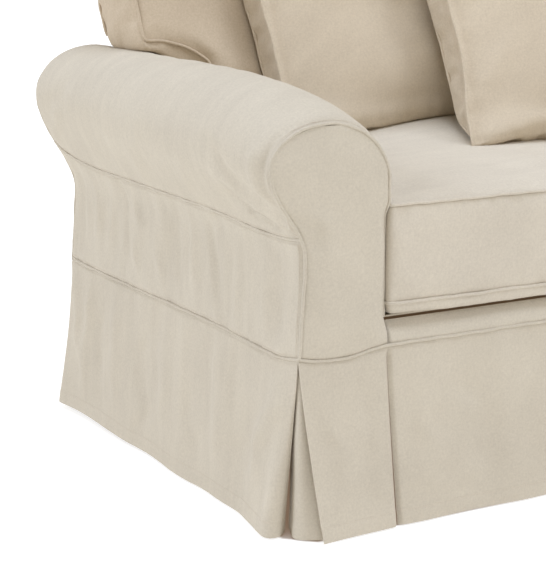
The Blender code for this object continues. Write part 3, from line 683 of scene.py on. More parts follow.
def alongPaths(name, paths, tree, sockets, values):
    # one mesh of lines for a group of paths, which its tree turns into ridges or stitches
    points, away, edges = [], [], []
    start = 0
    for line, outwards, closed in paths:
        points.append(line)
        away.append(outwards)
        count = len(line)
        edges += [(start + n, start + n + 1) for n in range(count - 1)]
        if closed:
            edges.append((start + count - 1, start))
        start += count
    mesh = bpy.data.meshes.new(name)
    mesh.from_pydata(np.concatenate(points).tolist(), edges, [])
    stored = mesh.attributes.new("away", "FLOAT_VECTOR", "POINT")
    stored.data.foreach_set("vector", np.concatenate(away).ravel())
    piece = bpy.data.objects.new(name, mesh)
    bpy.context.scene.collection.objects.link(piece)
    modifier = piece.modifiers.new("along", "NODES")
    modifier.node_group = tree
    for label, value in values.items():
        modifier[sockets[label]] = value
    made = bpy.data.meshes.new_from_object(piece.evaluated_get(bpy.context.evaluated_depsgraph_get()))
    piece.modifiers.clear()
    piece.data = made
    made.name = name
    if "away" in made.attributes:
        made.attributes.remove(made.attributes["away"])
    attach(piece, "root")
    return piece


# Arms
def armAt(depth):
    names = ("top", "left", "leftUp", "neck", "seam", "skirt")
    return {name: float(through(arm["depth"], arm[name], depth)) for name in names}


def bezier(ends, handles, count):
    t = np.linspace(0.0, 1.0, count)[:, None]
    first, last = np.asarray(ends, float)
    near, far = np.asarray(handles, float)
    s = 1.0 - t
    return first * s**3 + 3 * near * s * s * t + 3 * far * s * t * t + last * t**3


def cornerIn(depth):
    run = cover["wallDepth"] - arm["cornerFrom"]
    return arm["cornerIn"] * np.clip((depth - arm["cornerFrom"]) / run, 0.0, 1.0) ** 2


def armOutline(depth):
    # (out, up) from the skirt's seam up the wall and round the roll to its inner side
    row = armAt(depth)
    fine = arm["outlinePoints"]
    inward = float(cornerIn(depth))
    foot = (arm["foot"] + inward, row["skirt"] + cover["gap"])
    neck = (arm["waist"] + inward, row["neck"])
    left = (row["left"], row["leftUp"])
    footOut, footUp = arm["footHandle"]
    waistDown, (waistOut, waistUp) = arm["waistHandles"]
    handles = ((footOut + inward, foot[1] + footUp), (neck[0], neck[1] - waistDown))
    wall = bezier((foot, neck), handles, fine)
    handles = ((waistOut + inward, neck[1] + waistUp), (left[0], left[1] - arm["leftHandle"]))
    under = bezier((neck, left), handles, fine)

    def quarter(turn, reach, level):
        out = arm["topAt"] + reach * np.cos(turn)
        return np.stack([out, level + (row["top"] - level) * np.sin(turn)], axis=1)

    quarterTurn = math.pi / 2
    outerTop = quarter(np.linspace(math.pi, quarterTurn, fine), arm["topAt"] - left[0], left[1])
    inner = cover["armWidth"] - arm["topAt"]
    innerTop = quarter(np.linspace(quarterTurn, 0.0, fine), inner, arm["rightUp"])
    return np.concatenate([wall, under[1:], outerTop[1:], innerTop[1:]])


def armGrids():
    # rows run from front to back; the sleeve over the roll and the wall under it
    inset = cover["cloth"] + cover["gap"]
    depths = stops(cover["wallDepth"]) * (cover["wallDepth"] - 2 * inset) + inset
    sleeveShares = stops(arm["sleeveLong"], True, False)
    wallShares = stops(arm["wallLong"])
    sleeve, wall = [], []
    for depth in depths:
        joinUp = armAt(depth)["seam"]
        outline = armOutline(depth)
        split = int(np.argmax(outline[:, 1] >= joinUp))
        low, high = outline[split - 1], outline[split]
        joint = low + (high - low) * (joinUp - low[1]) / (high[1] - low[1])
        inner = np.array([[cover["armWidth"], cover["deckHeight"] + cover["gap"]]])
        roll = resampled(np.vstack([joint[None], outline[split:], inner]), sleeveShares)
        side = resampled(np.vstack([outline[:split], joint[None]]), wallShares)
        for rows, part in ((sleeve, roll), (wall, side)):
            rows.append(np.column_stack([part[:, 0], np.full(len(part), depth), part[:, 1]]))
    sleeve, wall = np.array(sleeve), np.array(wall)
    inner = ease((sleeve[0, :, 0] - cover["armWidth"] + arm["turnEdge"]) / arm["turnEdge"])
    shift = arm["turnBack"] * inner * ease((arm["turnTop"] - sleeve[0, :, 2]) / arm["turnSoft"])
    share = (sleeve[-1, 0, 1] - sleeve[:, :, 1]) / (sleeve[-1, 0, 1] - sleeve[0, 0, 1])
    sleeve[:, :, 1] += shift[None, :] * share
    return sleeve, wall


# Folds over the sleeve and the wall: back from the front, over the cloth from the
# lower seam, and the same for the other end; half width; height.
sleeveFolds = (
    (0.185, 0.070, -0.030, -0.008, 0.0065, -0.0048),
    (0.120, 0.026, -0.030, -0.004, 0.0050, -0.0036),
    (0.170, 0.046, -0.030, -0.006, 0.0070, 0.0038),
    (0.230, 0.125, -0.020, 0.014, 0.0110, 0.0026),
    (0.210, 0.165, -0.010, 0.032, 0.0120, -0.0028),
    (0.018, 0.210, 0.016, 0.030, 0.0100, -0.0032),
    (0.045, 0.170, 0.040, 0.070, 0.0120, 0.0018),
    (0.330, 0.030, 0.270, 0.120, 0.018, 0.0010),
    (0.500, 0.010, 0.430, 0.160, 0.022, 0.0014),
    (0.620, 0.010, 0.600, 0.110, 0.018, -0.0012),
    (0.860, 0.020, 0.760, 0.120, 0.016, 0.0024),
    (0.850, 0.060, 0.720, 0.190, 0.020, -0.0020),
)
wallFolds = (
    (0.060, 0.000, 0.066, 0.190, 0.014, -0.0014),
    (0.105, 0.010, 0.110, 0.180, 0.022, 0.0022),
    (0.205, 0.010, 0.190, 0.180, 0.020, 0.0022),
    (0.300, 0.185, 0.255, 0.020, 0.012, -0.0024),
    (0.370, 0.190, 0.340, 0.030, 0.016, 0.0028),
    (0.420, 0.190, 0.400, 0.020, 0.012, -0.0016),
    (0.470, 0.185, 0.465, 0.020, 0.018, 0.0020),
    (0.560, 0.180, 0.545, 0.015, 0.018, 0.0028),
    (0.610, 0.190, 0.600, 0.015, 0.012, -0.0020),
    (0.660, 0.190, 0.670, 0.030, 0.016, 0.0018),
    (0.740, 0.180, 0.720, 0.020, 0.018, 0.0024),
    (0.810, 0.190, 0.790, 0.010, 0.014, -0.0022),
)


# The unevenness of the arm's cloth: height, and the size of its cells back from the
# front and over the cloth. The wall's creases lean back as they rise.
armUneven = {
    "broad": (0.0022, 0.13, 0.10),
    "fine": (0.0008, 0.035, 0.05),
    "creases": (0.0038, 0.036, 0.14),
    "creaseLean": 0.25,
    "creaseWander": (0.006, 0.05, 0.05),
    "fineCreases": (0.0013, 0.019, 0.08),
    "fineLean": -0.3,
    "seamSoft": 0.010,       # it fades this near to a seam
    "pucker": 0.0008,
}
# The seam round each end: its row of the cloth, which way it faces, how far it stands
# out, how far back it is moved, and what is added to that low down.
armEndSeams = (
    (0, -1.0, 0.0014, -0.0012, -0.0014),
    (-1, 1.0, -0.0010, 0.0040, 0.0),
)
armSeamLow = (0.50, 0.06)    # low down starts at this height, over this much
armMiddle = (0.07, cover["wallDepth"] / 2, 0.45)


def buildArm(side, flip, seed):
    sleeve, wall = armGrids()
    core = flip(place(armMiddle))
    uneven = armUneven
    pieces = {}
    for name, grid, folds in (("arm_sleeve", sleeve, sleeveFolds), ("arm_side", wall, wallFolds)):
        grid = flip(place(grid))
        coords = clothCoords(grid)
        back, over = coords[..., 0], coords[..., 1]
        sides = ("first", "last", "low") if name == "arm_sleeve" else ("first", "last", "low", "high")
        distance = edgeDistance(grid, sides)
        height = foldHeight(back, over, folds, seed)
        height += rough(back, over, uneven["broad"], seed + 3)
        height += rough(back, over, uneven["fine"], seed + 4)
        if name == "arm_side":
            lean = back + uneven["creaseLean"] * over
            lean = lean + rough(back, over, uneven["creaseWander"], seed + 8)
            height += rough(lean, over, uneven["creases"], seed + 5)
            height += rough(back + uneven["fineLean"] * over, over, uneven["fineCreases"], seed + 7)
        height *= ease(distance / uneven["seamSoft"] + 0.2)
        along = np.where(over < back, back, back + over)
        height += pucker(distance, along, uneven["pucker"], seed + 6)
        height += groove(distance)
        grid = grid + gridNormals(grid, core) * height[..., None]
        sheetPiece(f"{name}_{side}_cloth", f"{name}_{side}", grid, coords, core, "cover_cloth")
        pieces[name] = grid
    addArmSeams(side, pieces["arm_sleeve"], pieces["arm_side"], core)


def addArmSeams(side, sleeve, wall, core):
    group = f"seams_arm_{side}"
    sleeveAway, wallAway = gridNormals(sleeve, core), gridNormals(wall, core)
    joint, away = (sleeve[:, 0] + wall[:, -1]) / 2, sleeveAway[:, 0] + wallAway[:, -1]
    addPath(seamPaths, group, joint + cover["ridgeLift"] * wallAway[:, -1], away)
    lowUp, lowSoft = armSeamLow
    for row, ahead, lifted, shift, lowShift in armEndSeams:
        line = np.concatenate([wall[row], sleeve[row, 1:]])
        away = np.concatenate([wallAway[row], sleeveAway[row, 1:]])
        line = line + away * lifted
        line[:, 1] += shift + lowShift * ease((lowUp - line[:, 2]) / lowSoft)
        addPath(seamPaths, group, line, away * 0.75 + np.array([0.0, 0.65 * ahead, 0.0]))
    sewn = ((sleeve, "low"), (wall, "high"), (wall, "low"), (wall, "first"), (sleeve, "first"))
    for grid, edge in sewn:
        stitchBeside(f"stitches_arm_{side}", grid, core, edge)


for side, flip, seed in (("left", np.asarray, 11), ("right", flipped, 71)):
    buildArm(side, flip, seed)
print("arm sleeves and walls made")


# Keyhole panels on the arm's two ends
endPanel = {
    "spacing": 0.006,        # of the mesh
    "headRows": 26,
    "peakInset": 0.0006,
    "borderPoints": 260,
    "puffWide": 0.030,
    "backPuff": 0.3,         # share of the front's
    "uneven": (0.0010, 0.09, 0.06),
    "seamSoft": 0.016,
    "pucker": 0.0005,
    "groove": 1.5,
    "grooveHigh": 0.7,       # shallower round the roll
    "grooveFrom": (0.48, 0.08),  # where the roll starts, and over how much it changes
}


def endSeamUp(out, back=None):
    fromSide = np.minimum(out, cover["wallWidth"] - np.asarray(out, float))
    return through(skirtArmEnd["seamOut"], skirtArmEnd["seamUp"], fromSide)


def endPanelGrid(depth, outward, turned):
    outline = armOutline(depth)
    peak = int(np.argmax(outline[:, 1]))
    outer, inner = outline[: peak + 1], outline[peak:][::-1]
    top = outline[peak, 1] - endPanel["peakInset"]
    base = cover["skirtSeam"] + cover["gap"]
    spacing = endPanel["spacing"]
    body = base + (arm["rightUp"] - base) * stops(arm["rightUp"] - base, True, False, spacing)
    turn = np.linspace(0.0, math.pi / 2, endPanel["headRows"])[1:]
    head = arm["rightUp"] + (top - arm["rightUp"]) * np.sin(turn)
    heights = np.concatenate([body, head])
    across = stops(cover["armWidth"], True, True, spacing)
    rows = []
    for up in heights:
        left = np.interp(up, outer[:, 1], outer[:, 0])
        right = cover["armWidth"]
        if up > arm["rightUp"]:
            right = np.interp(up, inner[:, 1], inner[:, 0])
        out = left + (right - left) * across
        sag = endSeamUp(across * cover["armWidth"]) - cover["skirtSeam"]
        low = ((heights[-1] - up) / (heights[-1] - base)) ** 4
        rows.append(np.column_stack([out, np.full(out.shape, depth), up + sag * low]))
    grid = np.array(rows)
    border = np.vstack([outline, [[cover["armWidth"], base]]])
    border = resampled(border, np.linspace(0.0, 1.0, endPanel["borderPoints"]))
    flat = grid[..., (0, 2)].reshape(-1, 1, 2)
    distance = np.linalg.norm(flat - border[None], axis=2).min(axis=1).reshape(grid.shape[:2])
    distance = np.minimum(distance, grid[..., 2] - endSeamUp(grid[..., 0]))
    distance = np.maximum(distance, 0.0)
    share = 1.0 if turned else endPanel["backPuff"]
    puff = arm["puff"] * share * (1.0 - np.exp(-((distance / endPanel["puffWide"]) ** 2)))
    grid[..., 1] += outward * puff
    if turned:
        wide = arm["turnWide"]
        near = np.clip((grid[..., 0] - (cover["armWidth"] - wide)) / wide, 0.0, 1.0)
        below = ease((arm["turnTop"] - grid[..., 2]) / arm["turnSoft"])
        below = below * ease((grid[..., 2] - arm["turnFoot"]) / arm["turnFootSoft"])
        grid[..., 1] += arm["turnBack"] * below * near**2
    return grid, distance


# up from the panel's foot and across it, twice; half width; height
frontPanelFolds = (
    (0.060, 0.030, 0.250, 0.040, 0.024, 0.0016),
    (0.200, 0.110, 0.060, 0.100, 0.022, -0.0012),
    (0.165, 0.018, 0.215, 0.050, 0.010, -0.0014),
    (0.100, 0.150, 0.190, 0.140, 0.012, 0.0012),
)


def buildArmEnds(side, flip, seed):
    core = flip(place(armMiddle))
    grooveUp, grooveSoft = endPanel["grooveFrom"]
    for end, depth, outward in (("front", 0.0, -1.0), ("back", cover["wallDepth"], 1.0)):
        grid, distance = endPanelGrid(depth, outward, end == "front")
        grid = flip(place(grid))
        coords = clothCoords(grid)
        up, over = coords[..., 0], coords[..., 1]
        height = foldHeight(up, over, frontPanelFolds, seed)
        height += rough(up, over, endPanel["uneven"], seed + 1)
        height *= ease(distance / endPanel["seamSoft"])
        height += pucker(distance, up + over, endPanel["pucker"], seed + 2)
        high = ease((grid[..., 2] - grooveUp) / grooveSoft)
        deep = endPanel["groove"] + (endPanel["grooveHigh"] - endPanel["groove"]) * high
        height += deep * groove(distance)
        grid = grid + np.array([0.0, outward, 0.0]) * height[..., None]
        name = f"arm_{end}_{side}"
        sheetPiece(name + "_cloth", name, grid, coords, core, "cover_cloth")


for side, flip, seed in (("left", np.asarray, 21), ("right", flipped, 81)):
    buildArmEnds(side, flip, seed)
print("arm end panels made")


# Skirt
skirtShape = {
    "fallPower": 1.15,       # the cloth leaves the seam a little steeper than it lands
    "hemRise": 0.008,        # of the side panels, towards the back
    "riseFrom": (0.35, 0.45),    # where it starts, and over how much depth it rises
    "insideHigh": 0.15,
    "armSpacing": 0.0055,    # of the mesh on the narrow panels
    "pleatSpacing": 0.006,
    "backSpacing": 0.0095,
    "hemThick": 0.0008,
    "hemSoft": 0.004,
}
# Waves of a hanging panel: their size at the seam and what they gain or lose towards
# the hem, and their cells along the seam and down from it. All calm down at the hem.
skirtWaves = {
    "long": (0.4, 0.5, 0.060, 0.45),
    "short": (1.0, -0.6, 0.032, 0.22),
    "fine": (0.0008, 0.05, 0.05),
    "calm": 0.45,
    "seamSoft": 0.015,
    "endSoft": 0.020,
    "slitWide": 0.007,
    "slitFrom": 0.02,
    "pucker": 0.0007,
    "high": {"side": 0.0034, "armFront": 0.0012, "pleat": 0.0008, "front": 0.0018, "back": 0.0020},
}


def alongTable(columns, shares):
    # dense places along a table's rows, evenly by the hem's length
    rows = np.arange(len(columns[0]), dtype=float)
    fineRows = np.linspace(0.0, rows[-1], 400)  # enough for a smooth hem
    dense = [through(rows, column, fineRows) for column in columns]
    along = alongLine(np.column_stack(dense[2:4]))
    at = np.interp(np.asarray(shares) * along[-1], along, fineRows)
    return [through(rows, column, at) for column in columns]


def skirtGrid(columns, seamUp, coarse=None, drop=0.0, hemRise=0.0, atSide=0.0):
    # seamUp(out, back) gives the seam's height at a place
    length = alongLine(np.column_stack(columns[2:4]))[-1]
    seamOut, seamBack, hemOut, hemBack = alongTable(columns, stops(length, coarse=coarse))
    top = seamUp(seamOut, seamBack) - cover["gap"] - drop
    rows = []
    riseStart, riseRun = skirtShape["riseFrom"]
    raised = hemRise * ease((seamBack - riseStart) / riseRun)
    seamOut = seamOut + atSide * cornerIn(seamBack)
    for share in stops(cover["skirtSeam"], True, True, coarse):
        fall = share ** skirtShape["fallPower"]
        out = seamOut + (hemOut - seamOut) * fall
        back = seamBack + (hemBack - seamBack) * fall
        rows.append(np.column_stack([out, back, top * (1.0 - share) + raised * share**3]))
    return np.array(rows)


# Skirt folds: down from the seam, along from the panel's start, and the same for the
# other end; half width; height. The side panel starts at the front pleat.
sideSkirtFolds = (
    (0.025, 0.028, 0.240, 0.115, 0.022, 0.0052),
    (0.080, 0.105, 0.300, 0.175, 0.030, -0.0042),
    (0.150, 0.020, 0.300, 0.045, 0.016, 0.0030),
    (0.020, 0.235, 0.240, 0.255, 0.026, 0.0030),
    (0.100, 0.330, 0.290, 0.345, 0.024, -0.0030),
    (0.015, 0.420, 0.270, 0.430, 0.028, 0.0034),
    (0.060, 0.515, 0.290, 0.520, 0.022, -0.0034),
    (0.020, 0.610, 0.250, 0.640, 0.022, 0.0034),
    (0.040, 0.700, 0.290, 0.690, 0.020, -0.0030),
    (0.010, 0.730, 0.280, 0.770, 0.016, 0.0040),
    (0.010, 0.840, 0.200, 0.760, 0.016, 0.0036),
)
armSkirtFolds = (
    (0.050, 0.055, 0.280, 0.045, 0.016, 0.0018),
    (0.020, 0.110, 0.270, 0.105, 0.018, -0.0016),
)
frontSkirtFolds = (
    (0.010, 0.060, 0.280, 0.070, 0.022, 0.0022),
    (0.030, 0.170, 0.290, 0.150, 0.030, -0.0024),
    (0.010, 0.300, 0.270, 0.310, 0.024, 0.0022),
    (0.020, 0.470, 0.290, 0.460, 0.034, -0.0026),
    (0.010, 0.640, 0.280, 0.650, 0.028, 0.0024),
    (0.020, 0.830, 0.290, 0.820, 0.030, -0.0022),
    (0.010, 1.000, 0.280, 1.020, 0.026, 0.0024),
    (0.030, 1.200, 0.290, 1.190, 0.030, -0.0022),
)
skirtTops = {}


def skirtPiece(name, grid, core, folds, seed, wave, sides=("first",), slits=()):
    waves = skirtWaves
    coords = clothCoords(grid)
    down, along = coords[..., 0], coords[..., 1]
    share = ease(down / cover["skirtSeam"])
    distance = edgeDistance(grid, sides)
    ends = edgeDistance(grid, ("low", "high"))
    height = foldHeight(down, along, folds, seed)
    for number, kind in ((1, "long"), (2, "short")):
        start, gain, cellAlong, cellDown = waves[kind]
        height += wave * (start + gain * share) * cloud(along, down, cellAlong, cellDown, seed + number)
    height += rough(along, down, waves["fine"], seed + 3)
    calm = 1.0 - waves["calm"] * share**3
    height *= ease(distance / waves["seamSoft"] + 0.05) * ease(ends / waves["endSoft"]) * calm
    if slits:
        near = ease(1.0 - edgeDistance(grid, slits) / waves["slitWide"])
        height -= frontSkirt["turned"] * near * ease(down / waves["slitFrom"])
    hem = edgeDistance(grid, ("last",))
    height += skirtShape["hemThick"] * ease((seam["hemRow"] - hem) / skirtShape["hemSoft"])
    height += pucker(distance, along, waves["pucker"], seed + 4) + groove(distance)
    grid = grid + gridNormals(grid, core) * height[..., None]
    normals = gridNormals(grid, core)
    skirtTops[name] = (grid[0] + cover["ridgeLift"] * normals[0], normals[0])
    if not name.startswith("pleat"):
        stitchBeside("stitches_skirt", grid, core, "last", seam["hemRow"])
        stitchBeside("stitches_skirt", grid, core, "first")
    sheetPiece(name + "_cloth", name, grid, coords, core, "skirt_cloth")


def sideSeamUp(out, back):
    return through(arm["depth"], arm["skirt"], np.clip(back, 0.0, cover["wallDepth"]))


def insertSeamUp(out, back):
    return np.full(np.shape(out), arm["skirt"][0])


def skirtMiddle():
    return place((cover["wallWidth"] / 2, cover["wallDepth"] / 2, skirtShape["insideHigh"]))


def buildSkirtCorners(side, flip, seed):
    core = skirtMiddle()
    high = skirtWaves["high"]
    keys = ("seamOut", "seamBack", "hemOut", "hemBack")
    columns = [np.array(skirtSide[key]) for key in keys]
    grid = flip(place(skirtGrid(columns, sideSeamUp, hemRise=skirtShape["hemRise"], atSide=1.0)))
    skirtPiece(f"skirt_side_{side}", grid, core, sideSkirtFolds, seed, high["side"])
    armEnd = {key: np.array(values) for key, values in skirtArmEnd.items()}
    columns = [armEnd["seamOut"], np.zeros(len(armEnd["seamOut"])), armEnd["hemOut"], -armEnd["flare"]]
    grid = flip(place(skirtGrid(columns, endSeamUp, skirtShape["armSpacing"])))
    name = f"skirt_arm_front_{side}"
    skirtPiece(name, grid, core, armSkirtFolds, seed + 10, high["armFront"], slits=("high",))
    insert = [np.array(pleatInsert[key]) for key in keys]
    turned = [insert[0], cover["wallDepth"] - insert[1], insert[2], cover["wallDepth"] - insert[3]]
    for end, table in (("front", insert), ("back", turned)):
        grid = skirtGrid(table, insertSeamUp, skirtShape["pleatSpacing"], pleatInsert["drop"], atSide=1.0)
        grid = flip(place(grid))
        skirtPiece(f"pleat_{end}_{side}", grid, core, (), seed + 20, high["pleat"], sides=())


def buildLongSkirts():
    core = skirtMiddle()
    high = skirtWaves["high"]
    width, depth, inner = cover["wallWidth"], cover["wallDepth"], cover["armWidth"]
    count = 4 * frontSkirt["waves"] + 1
    phase = np.linspace(0.0, 2 * math.pi * frontSkirt["waves"], count)
    flare = frontSkirt["flare"] + frontSkirt["wave"] * np.sin(phase)
    seamEnd, hemEnd = inner + cover["gap"], skirtArmEnd["hemOut"][-1] + frontSkirt["slit"]
    columns = [
        np.linspace(seamEnd, width - seamEnd, count), np.zeros(count),
        np.linspace(hemEnd, width - hemEnd, count), -flare,
    ]
    grid = place(skirtGrid(columns, endSeamUp))
    skirtPiece("skirt_front", grid, core, frontSkirtFolds, 301, high["front"], slits=("low", "high"))
    # the back panel runs on round both corners, each like an arm's front panel
    ends = {key: np.array(values) for key, values in skirtArmEnd.items()}

    def withEnds(key, start):
        middle = np.linspace(start, width - start, count)
        return np.concatenate([ends[key][:-1], middle, width - ends[key][-2::-1]])

    inward = cornerIn(depth) + arm["foot"]
    seamLine = np.clip(withEnds("seamOut", inner), inward, width - inward)
    hemLine = withEnds("hemOut", ends["hemOut"][-1])
    out = np.concatenate([ends["flare"][:-1], flare, ends["flare"][-2::-1]])
    columns = [seamLine, np.full(len(seamLine), depth), hemLine, depth + out]
    grid = place(skirtGrid(columns, endSeamUp, skirtShape["backSpacing"]))
    skirtPiece("skirt_back", grid, core, frontSkirtFolds, 311, high["back"])


for side, flip, seed in (("left", np.asarray, 31), ("right", flipped, 91)):
    buildSkirtCorners(side, flip, seed)
buildLongSkirts()
# the skirt's seam runs once round the cover
around = (
    ("skirt_side_left", -1), ("skirt_arm_front_left", 1), ("skirt_front", 1),
    ("skirt_arm_front_right", -1), ("skirt_side_right", 1), ("skirt_back", -1),
)
rounds = [[part[::way] for part in skirtTops[name]] for name, way in around]
line, away = (np.concatenate([part[n] for part in rounds]) for n in (0, 1))
addPath(seamPaths, "seams_skirt", line, away, closed=True)
print("skirt made")


# Platform, border and back
platform = {
    "backFoot": 0.735,       # the inside back meets the deck here
    "backTop": 0.782,
    "topWide": 0.030,
    "borderSetback": 0.012,
    "borderTurned": 0.010,   # its top edge turns in under the seat cushion
    "deckBehind": 0.012,     # the deck's front edge lies this far behind the border
    "turnedWide": 0.022,
    "turnedEnds": (0.4, 0.007),
    "seamSoft": 0.02,
    "puffWide": 0.09,
    "broad": (0.16, 0.12),
    "narrow": (0.30, 0.035),
    "narrowShare": 0.7,
    "pucker": 0.0006,
    "seamInset": (0.0008, 0.0006),
    "seamPoints": (60, 40),
}


def quadGrid(corners, coarse, fineSides=True):
    a, b, c, d = (np.asarray(corner, float) for corner in corners)
    s = stops(np.linalg.norm(d - a), fineSides, fineSides, coarse)[:, None, None]
    t = stops(np.linalg.norm(b - a), fineSides, fineSides, coarse)[None, :, None]
    return a * (1 - s) * (1 - t) + b * (1 - s) * t + c * s * t + d * s * (1 - t)


def flatPanel(name, corners, core, seed, coarse=0.010, bulge=0.0, uneven=0.0010, sewn=True, turned=0.0):
    grid = place(quadGrid(corners, coarse, sewn))
    core = place(core)
    endShare, endWide = platform["turnedEnds"]
    inward = turned * ease(1.0 - edgeDistance(grid, ("last",)) / platform["turnedWide"])
    inward += endShare * turned * ease(1.0 - edgeDistance(grid, ("low", "high")) / endWide)
    grid = grid - gridNormals(grid, core) * inward[..., None]
    coords = clothCoords(grid)
    down, over = coords[..., 0], coords[..., 1]
    distance = edgeDistance(grid, ("first", "last", "low", "high"))
    soft = ease(distance / platform["seamSoft"])
    height = bulge * (1.0 - np.exp(-((distance / platform["puffWide"]) ** 2)))
    height = height + uneven * cloud(down, over, *platform["broad"], seed) * soft
    height += uneven * platform["narrowShare"] * cloud(down, over, *platform["narrow"], seed + 1) * soft
    if sewn:
        height += pucker(distance, down + over, platform["pucker"], seed + 2) + groove(distance)
    grid = grid + gridNormals(grid, core) * height[..., None]
    sheetPiece(name + "_cloth", name, grid, coords, core, "cover_cloth")


def addBackSeams(left, right, topFront, top, base):
    # the back's top edges and the upright joints beside the arms' back panels
    depth = cover["wallDepth"]
    below, before = platform["seamInset"]
    across, upright = platform["seamPoints"]
    for back, away in ((depth, (0.0, 0.7, 0.7)), (topFront, (0.0, -0.7, 0.7))):
        outs = np.linspace(left, right, across)
        line = np.stack([outs, np.full(across, back), np.full(across, top - below)], axis=1)
        addPath(seamPaths, "seams_back", place(line), np.tile(away, (across, 1)))
    for out in (left, right):
        ups = np.linspace(base, top, upright)
        line = np.stack([np.full(upright, out), np.full(upright, depth - before), ups], axis=1)
        addPath(seamPaths, "seams_back", place(line), np.tile((0.0, 1.0, 0.0), (upright, 1)))


def buildFrameCover():
    thick, gap = cover["cloth"], cover["gap"]
    left = cover["armWidth"] + gap
    right = cover["wallWidth"] - left
    base, deck = cover["skirtSeam"] + gap, cover["deckHeight"]
    setback, foot, depth = platform["borderSetback"], platform["backFoot"], cover["wallDepth"]
    top = platform["backTop"]
    topFront, under = depth - platform["topWide"], top - thick - gap
    borderTop, deckUp = deck - thick - gap, deck + gap
    deckFront, behind = setback + platform["deckBehind"], depth - thick - gap
    inner, outer = left + (thick + gap), right - (thick + gap)
    # places inside the platform and inside the back, which tell a panel's outer side
    low = (cover["wallWidth"] / 2, depth / 2, 0.15)
    back = (cover["wallWidth"] / 2, depth - 0.012, 0.60)

    def across(start, end, first, last):
        # a panel's four corners between two places out, from its first edge to its last
        return ((start, *first), (end, *first), (end, *last), (start, *last))

    corners = across(left, right, (0.0, base), (setback, borderTop))
    flatPanel("front_border", corners, low, 401, coarse=0.007, turned=platform["borderTurned"])
    corners = across(left, right, (deckFront, deck), (foot, deck))
    flatPanel("deck", corners, low, 411, coarse=0.030, uneven=0.0003, sewn=False)
    corners = across(inner, outer, (foot, deckUp), (topFront, under))
    flatPanel("inside_back", corners, back, 421, coarse=0.014)
    corners = across(left, right, (depth, base), (depth, under))
    flatPanel("outside_back", corners, back, 431, coarse=0.0095, bulge=0.006, uneven=0.0022)
    corners = across(left, right, (topFront, top), (depth, top))
    flatPanel("back_top", corners, back, 441)
    addBackSeams(left, right, topFront, top, base)
    for side, out, seed in (("left", left, 451), ("right", right, 461)):
        corners = ((out, foot, deckUp), (out, behind, deckUp), (out, behind, under), (out, topFront, under))
        flatPanel(f"back_side_{side}", corners, back, seed, coarse=0.012)


buildFrameCover()
print("platform, border and back made")

# Cushions, swollen by a cloth simulation
seat = {
    "bottom": cover["deckHeight"] + cover["gap"],
    "edge": 0.503,           # height of the seam round its top
    "crown": 0.029,
    "plump": 0.033,          # it stands higher under the pillows
    "plumpAt": (0.30, 0.27),     # across and back, from -1 to 1
    "plumpWide": (0.62, 0.30),
    "front": 0.003,
    "depth": 0.715,
    "sideGap": 0.0026,       # to what stands beside it
    "underRound": 0.022,     # height and inset of its rounded underside
    "underInset": 0.016,
    "underRows": 3,          # cells up the rounded part, with the lower seam on top
    "sideRows": 12,
    "lip": 0.006,            # its lower front edge bulges this far forward
    "lipDrop": 0.15,         # and hangs this share of that
    "lipFrom": 0.30,         # share of its width in which the bulge starts
    "mesh": 0.0135,
}
backRest = {
    "lean": math.tan(math.radians(24)),
    "bendAbove": 0.750,      # above this height it bends upright
    "bend": 1.08,
    "faceBack": 0.630,       # its front seam is here
    "faceUp": 0.722,         # at this height
    "thickness": 0.158,
    "crown": 0.010,
    "rearCrown": 0.004,
    "top": 0.912,
    "bodyOut": 0.170,        # where it passes the arm
    "notch": 0.655,
    "earOut": (0.052, 0.090, 0.130, 0.170),
    "earUp": (0.712, 0.711, 0.700, 0.675),
    "rest": 0.0006,          # above what it lies on
    "rows": (10, 20, 12),    # cells below the notch, above it and through
    "sideBulge": 0.005,
    "topBulge": 0.010,
    "armProbe": 0.75,        # the ear lies on the arm's roll as it is here
    # how the ear's underside lies down on the roll and tucks forward, row by row back
    "earRows": (0, 1, 2, 3, 4, 5, 6, 10, 12),
    "earLies": (0.0, 0.42, 0.90, 1.0, 1.0, 1.0, 1.0, 1.0, 0.0),
    "earTucks": (0.0, -0.0190, -0.0320, -0.0350, -0.0200, -0.0060, 0.0, 0.0, 0.0),
    "mesh": 0.0125,
}
pillow = {
    "width": 0.520,
    "height": 0.425,
    "boxing": 0.062,         # the strip between its two faces
    "crown": 0.052,
    "rearCrown": 0.014,
    "pull": 0.012,           # its sides draw in this far between the corners
    "belly": 4.5,            # the higher, the fuller its lower half
    "pinch": 0.80,           # its faces nearly meet at the corners
    "fullness": 2.6,         # the same for its sides and its upper half
    "pinchFrom": (0.70, 0.62),   # from here to the corner, across and up
    "bellyAt": (-0.74, -0.90),   # a lump low beside its outer corner
    "bellyWide": (0.28, 0.13),
    "bellyOut": 0.016,
    "sag": 0.011,            # its face hangs over its lower seam
    "sagAt": (0.925, 0.055, 0.12),   # how low, how narrow, and how soft at its ends
    "tipFrom": (0.72, 0.10),     # from here the outer corner reaches outward
    "underSoft": 0.25,
    "cells": 6,              # through its thickness
    "mesh": 0.0115,
    # lower outer corner (3), turn, lean, roll, and how far that corner points outward
    "places": {
        "pillow_left": (0.254, 0.452, 0.538, -4.0, 24.0, 4.6, 0.0),
        "pillow_middle": (0.529, 0.275, 0.535, -6.0, 25.0, 4.0, 0.020),
    },
}
swelling = {
    "pressure": 4.0,
    "slack": 0.022,
    "frames": 20,
    "quality": 5,
    "mass": 0.3,
    "airDamping": 1.0,
    "stretch": 15.0,
    "shear": 5.0,
    "bending": 0.6,
}
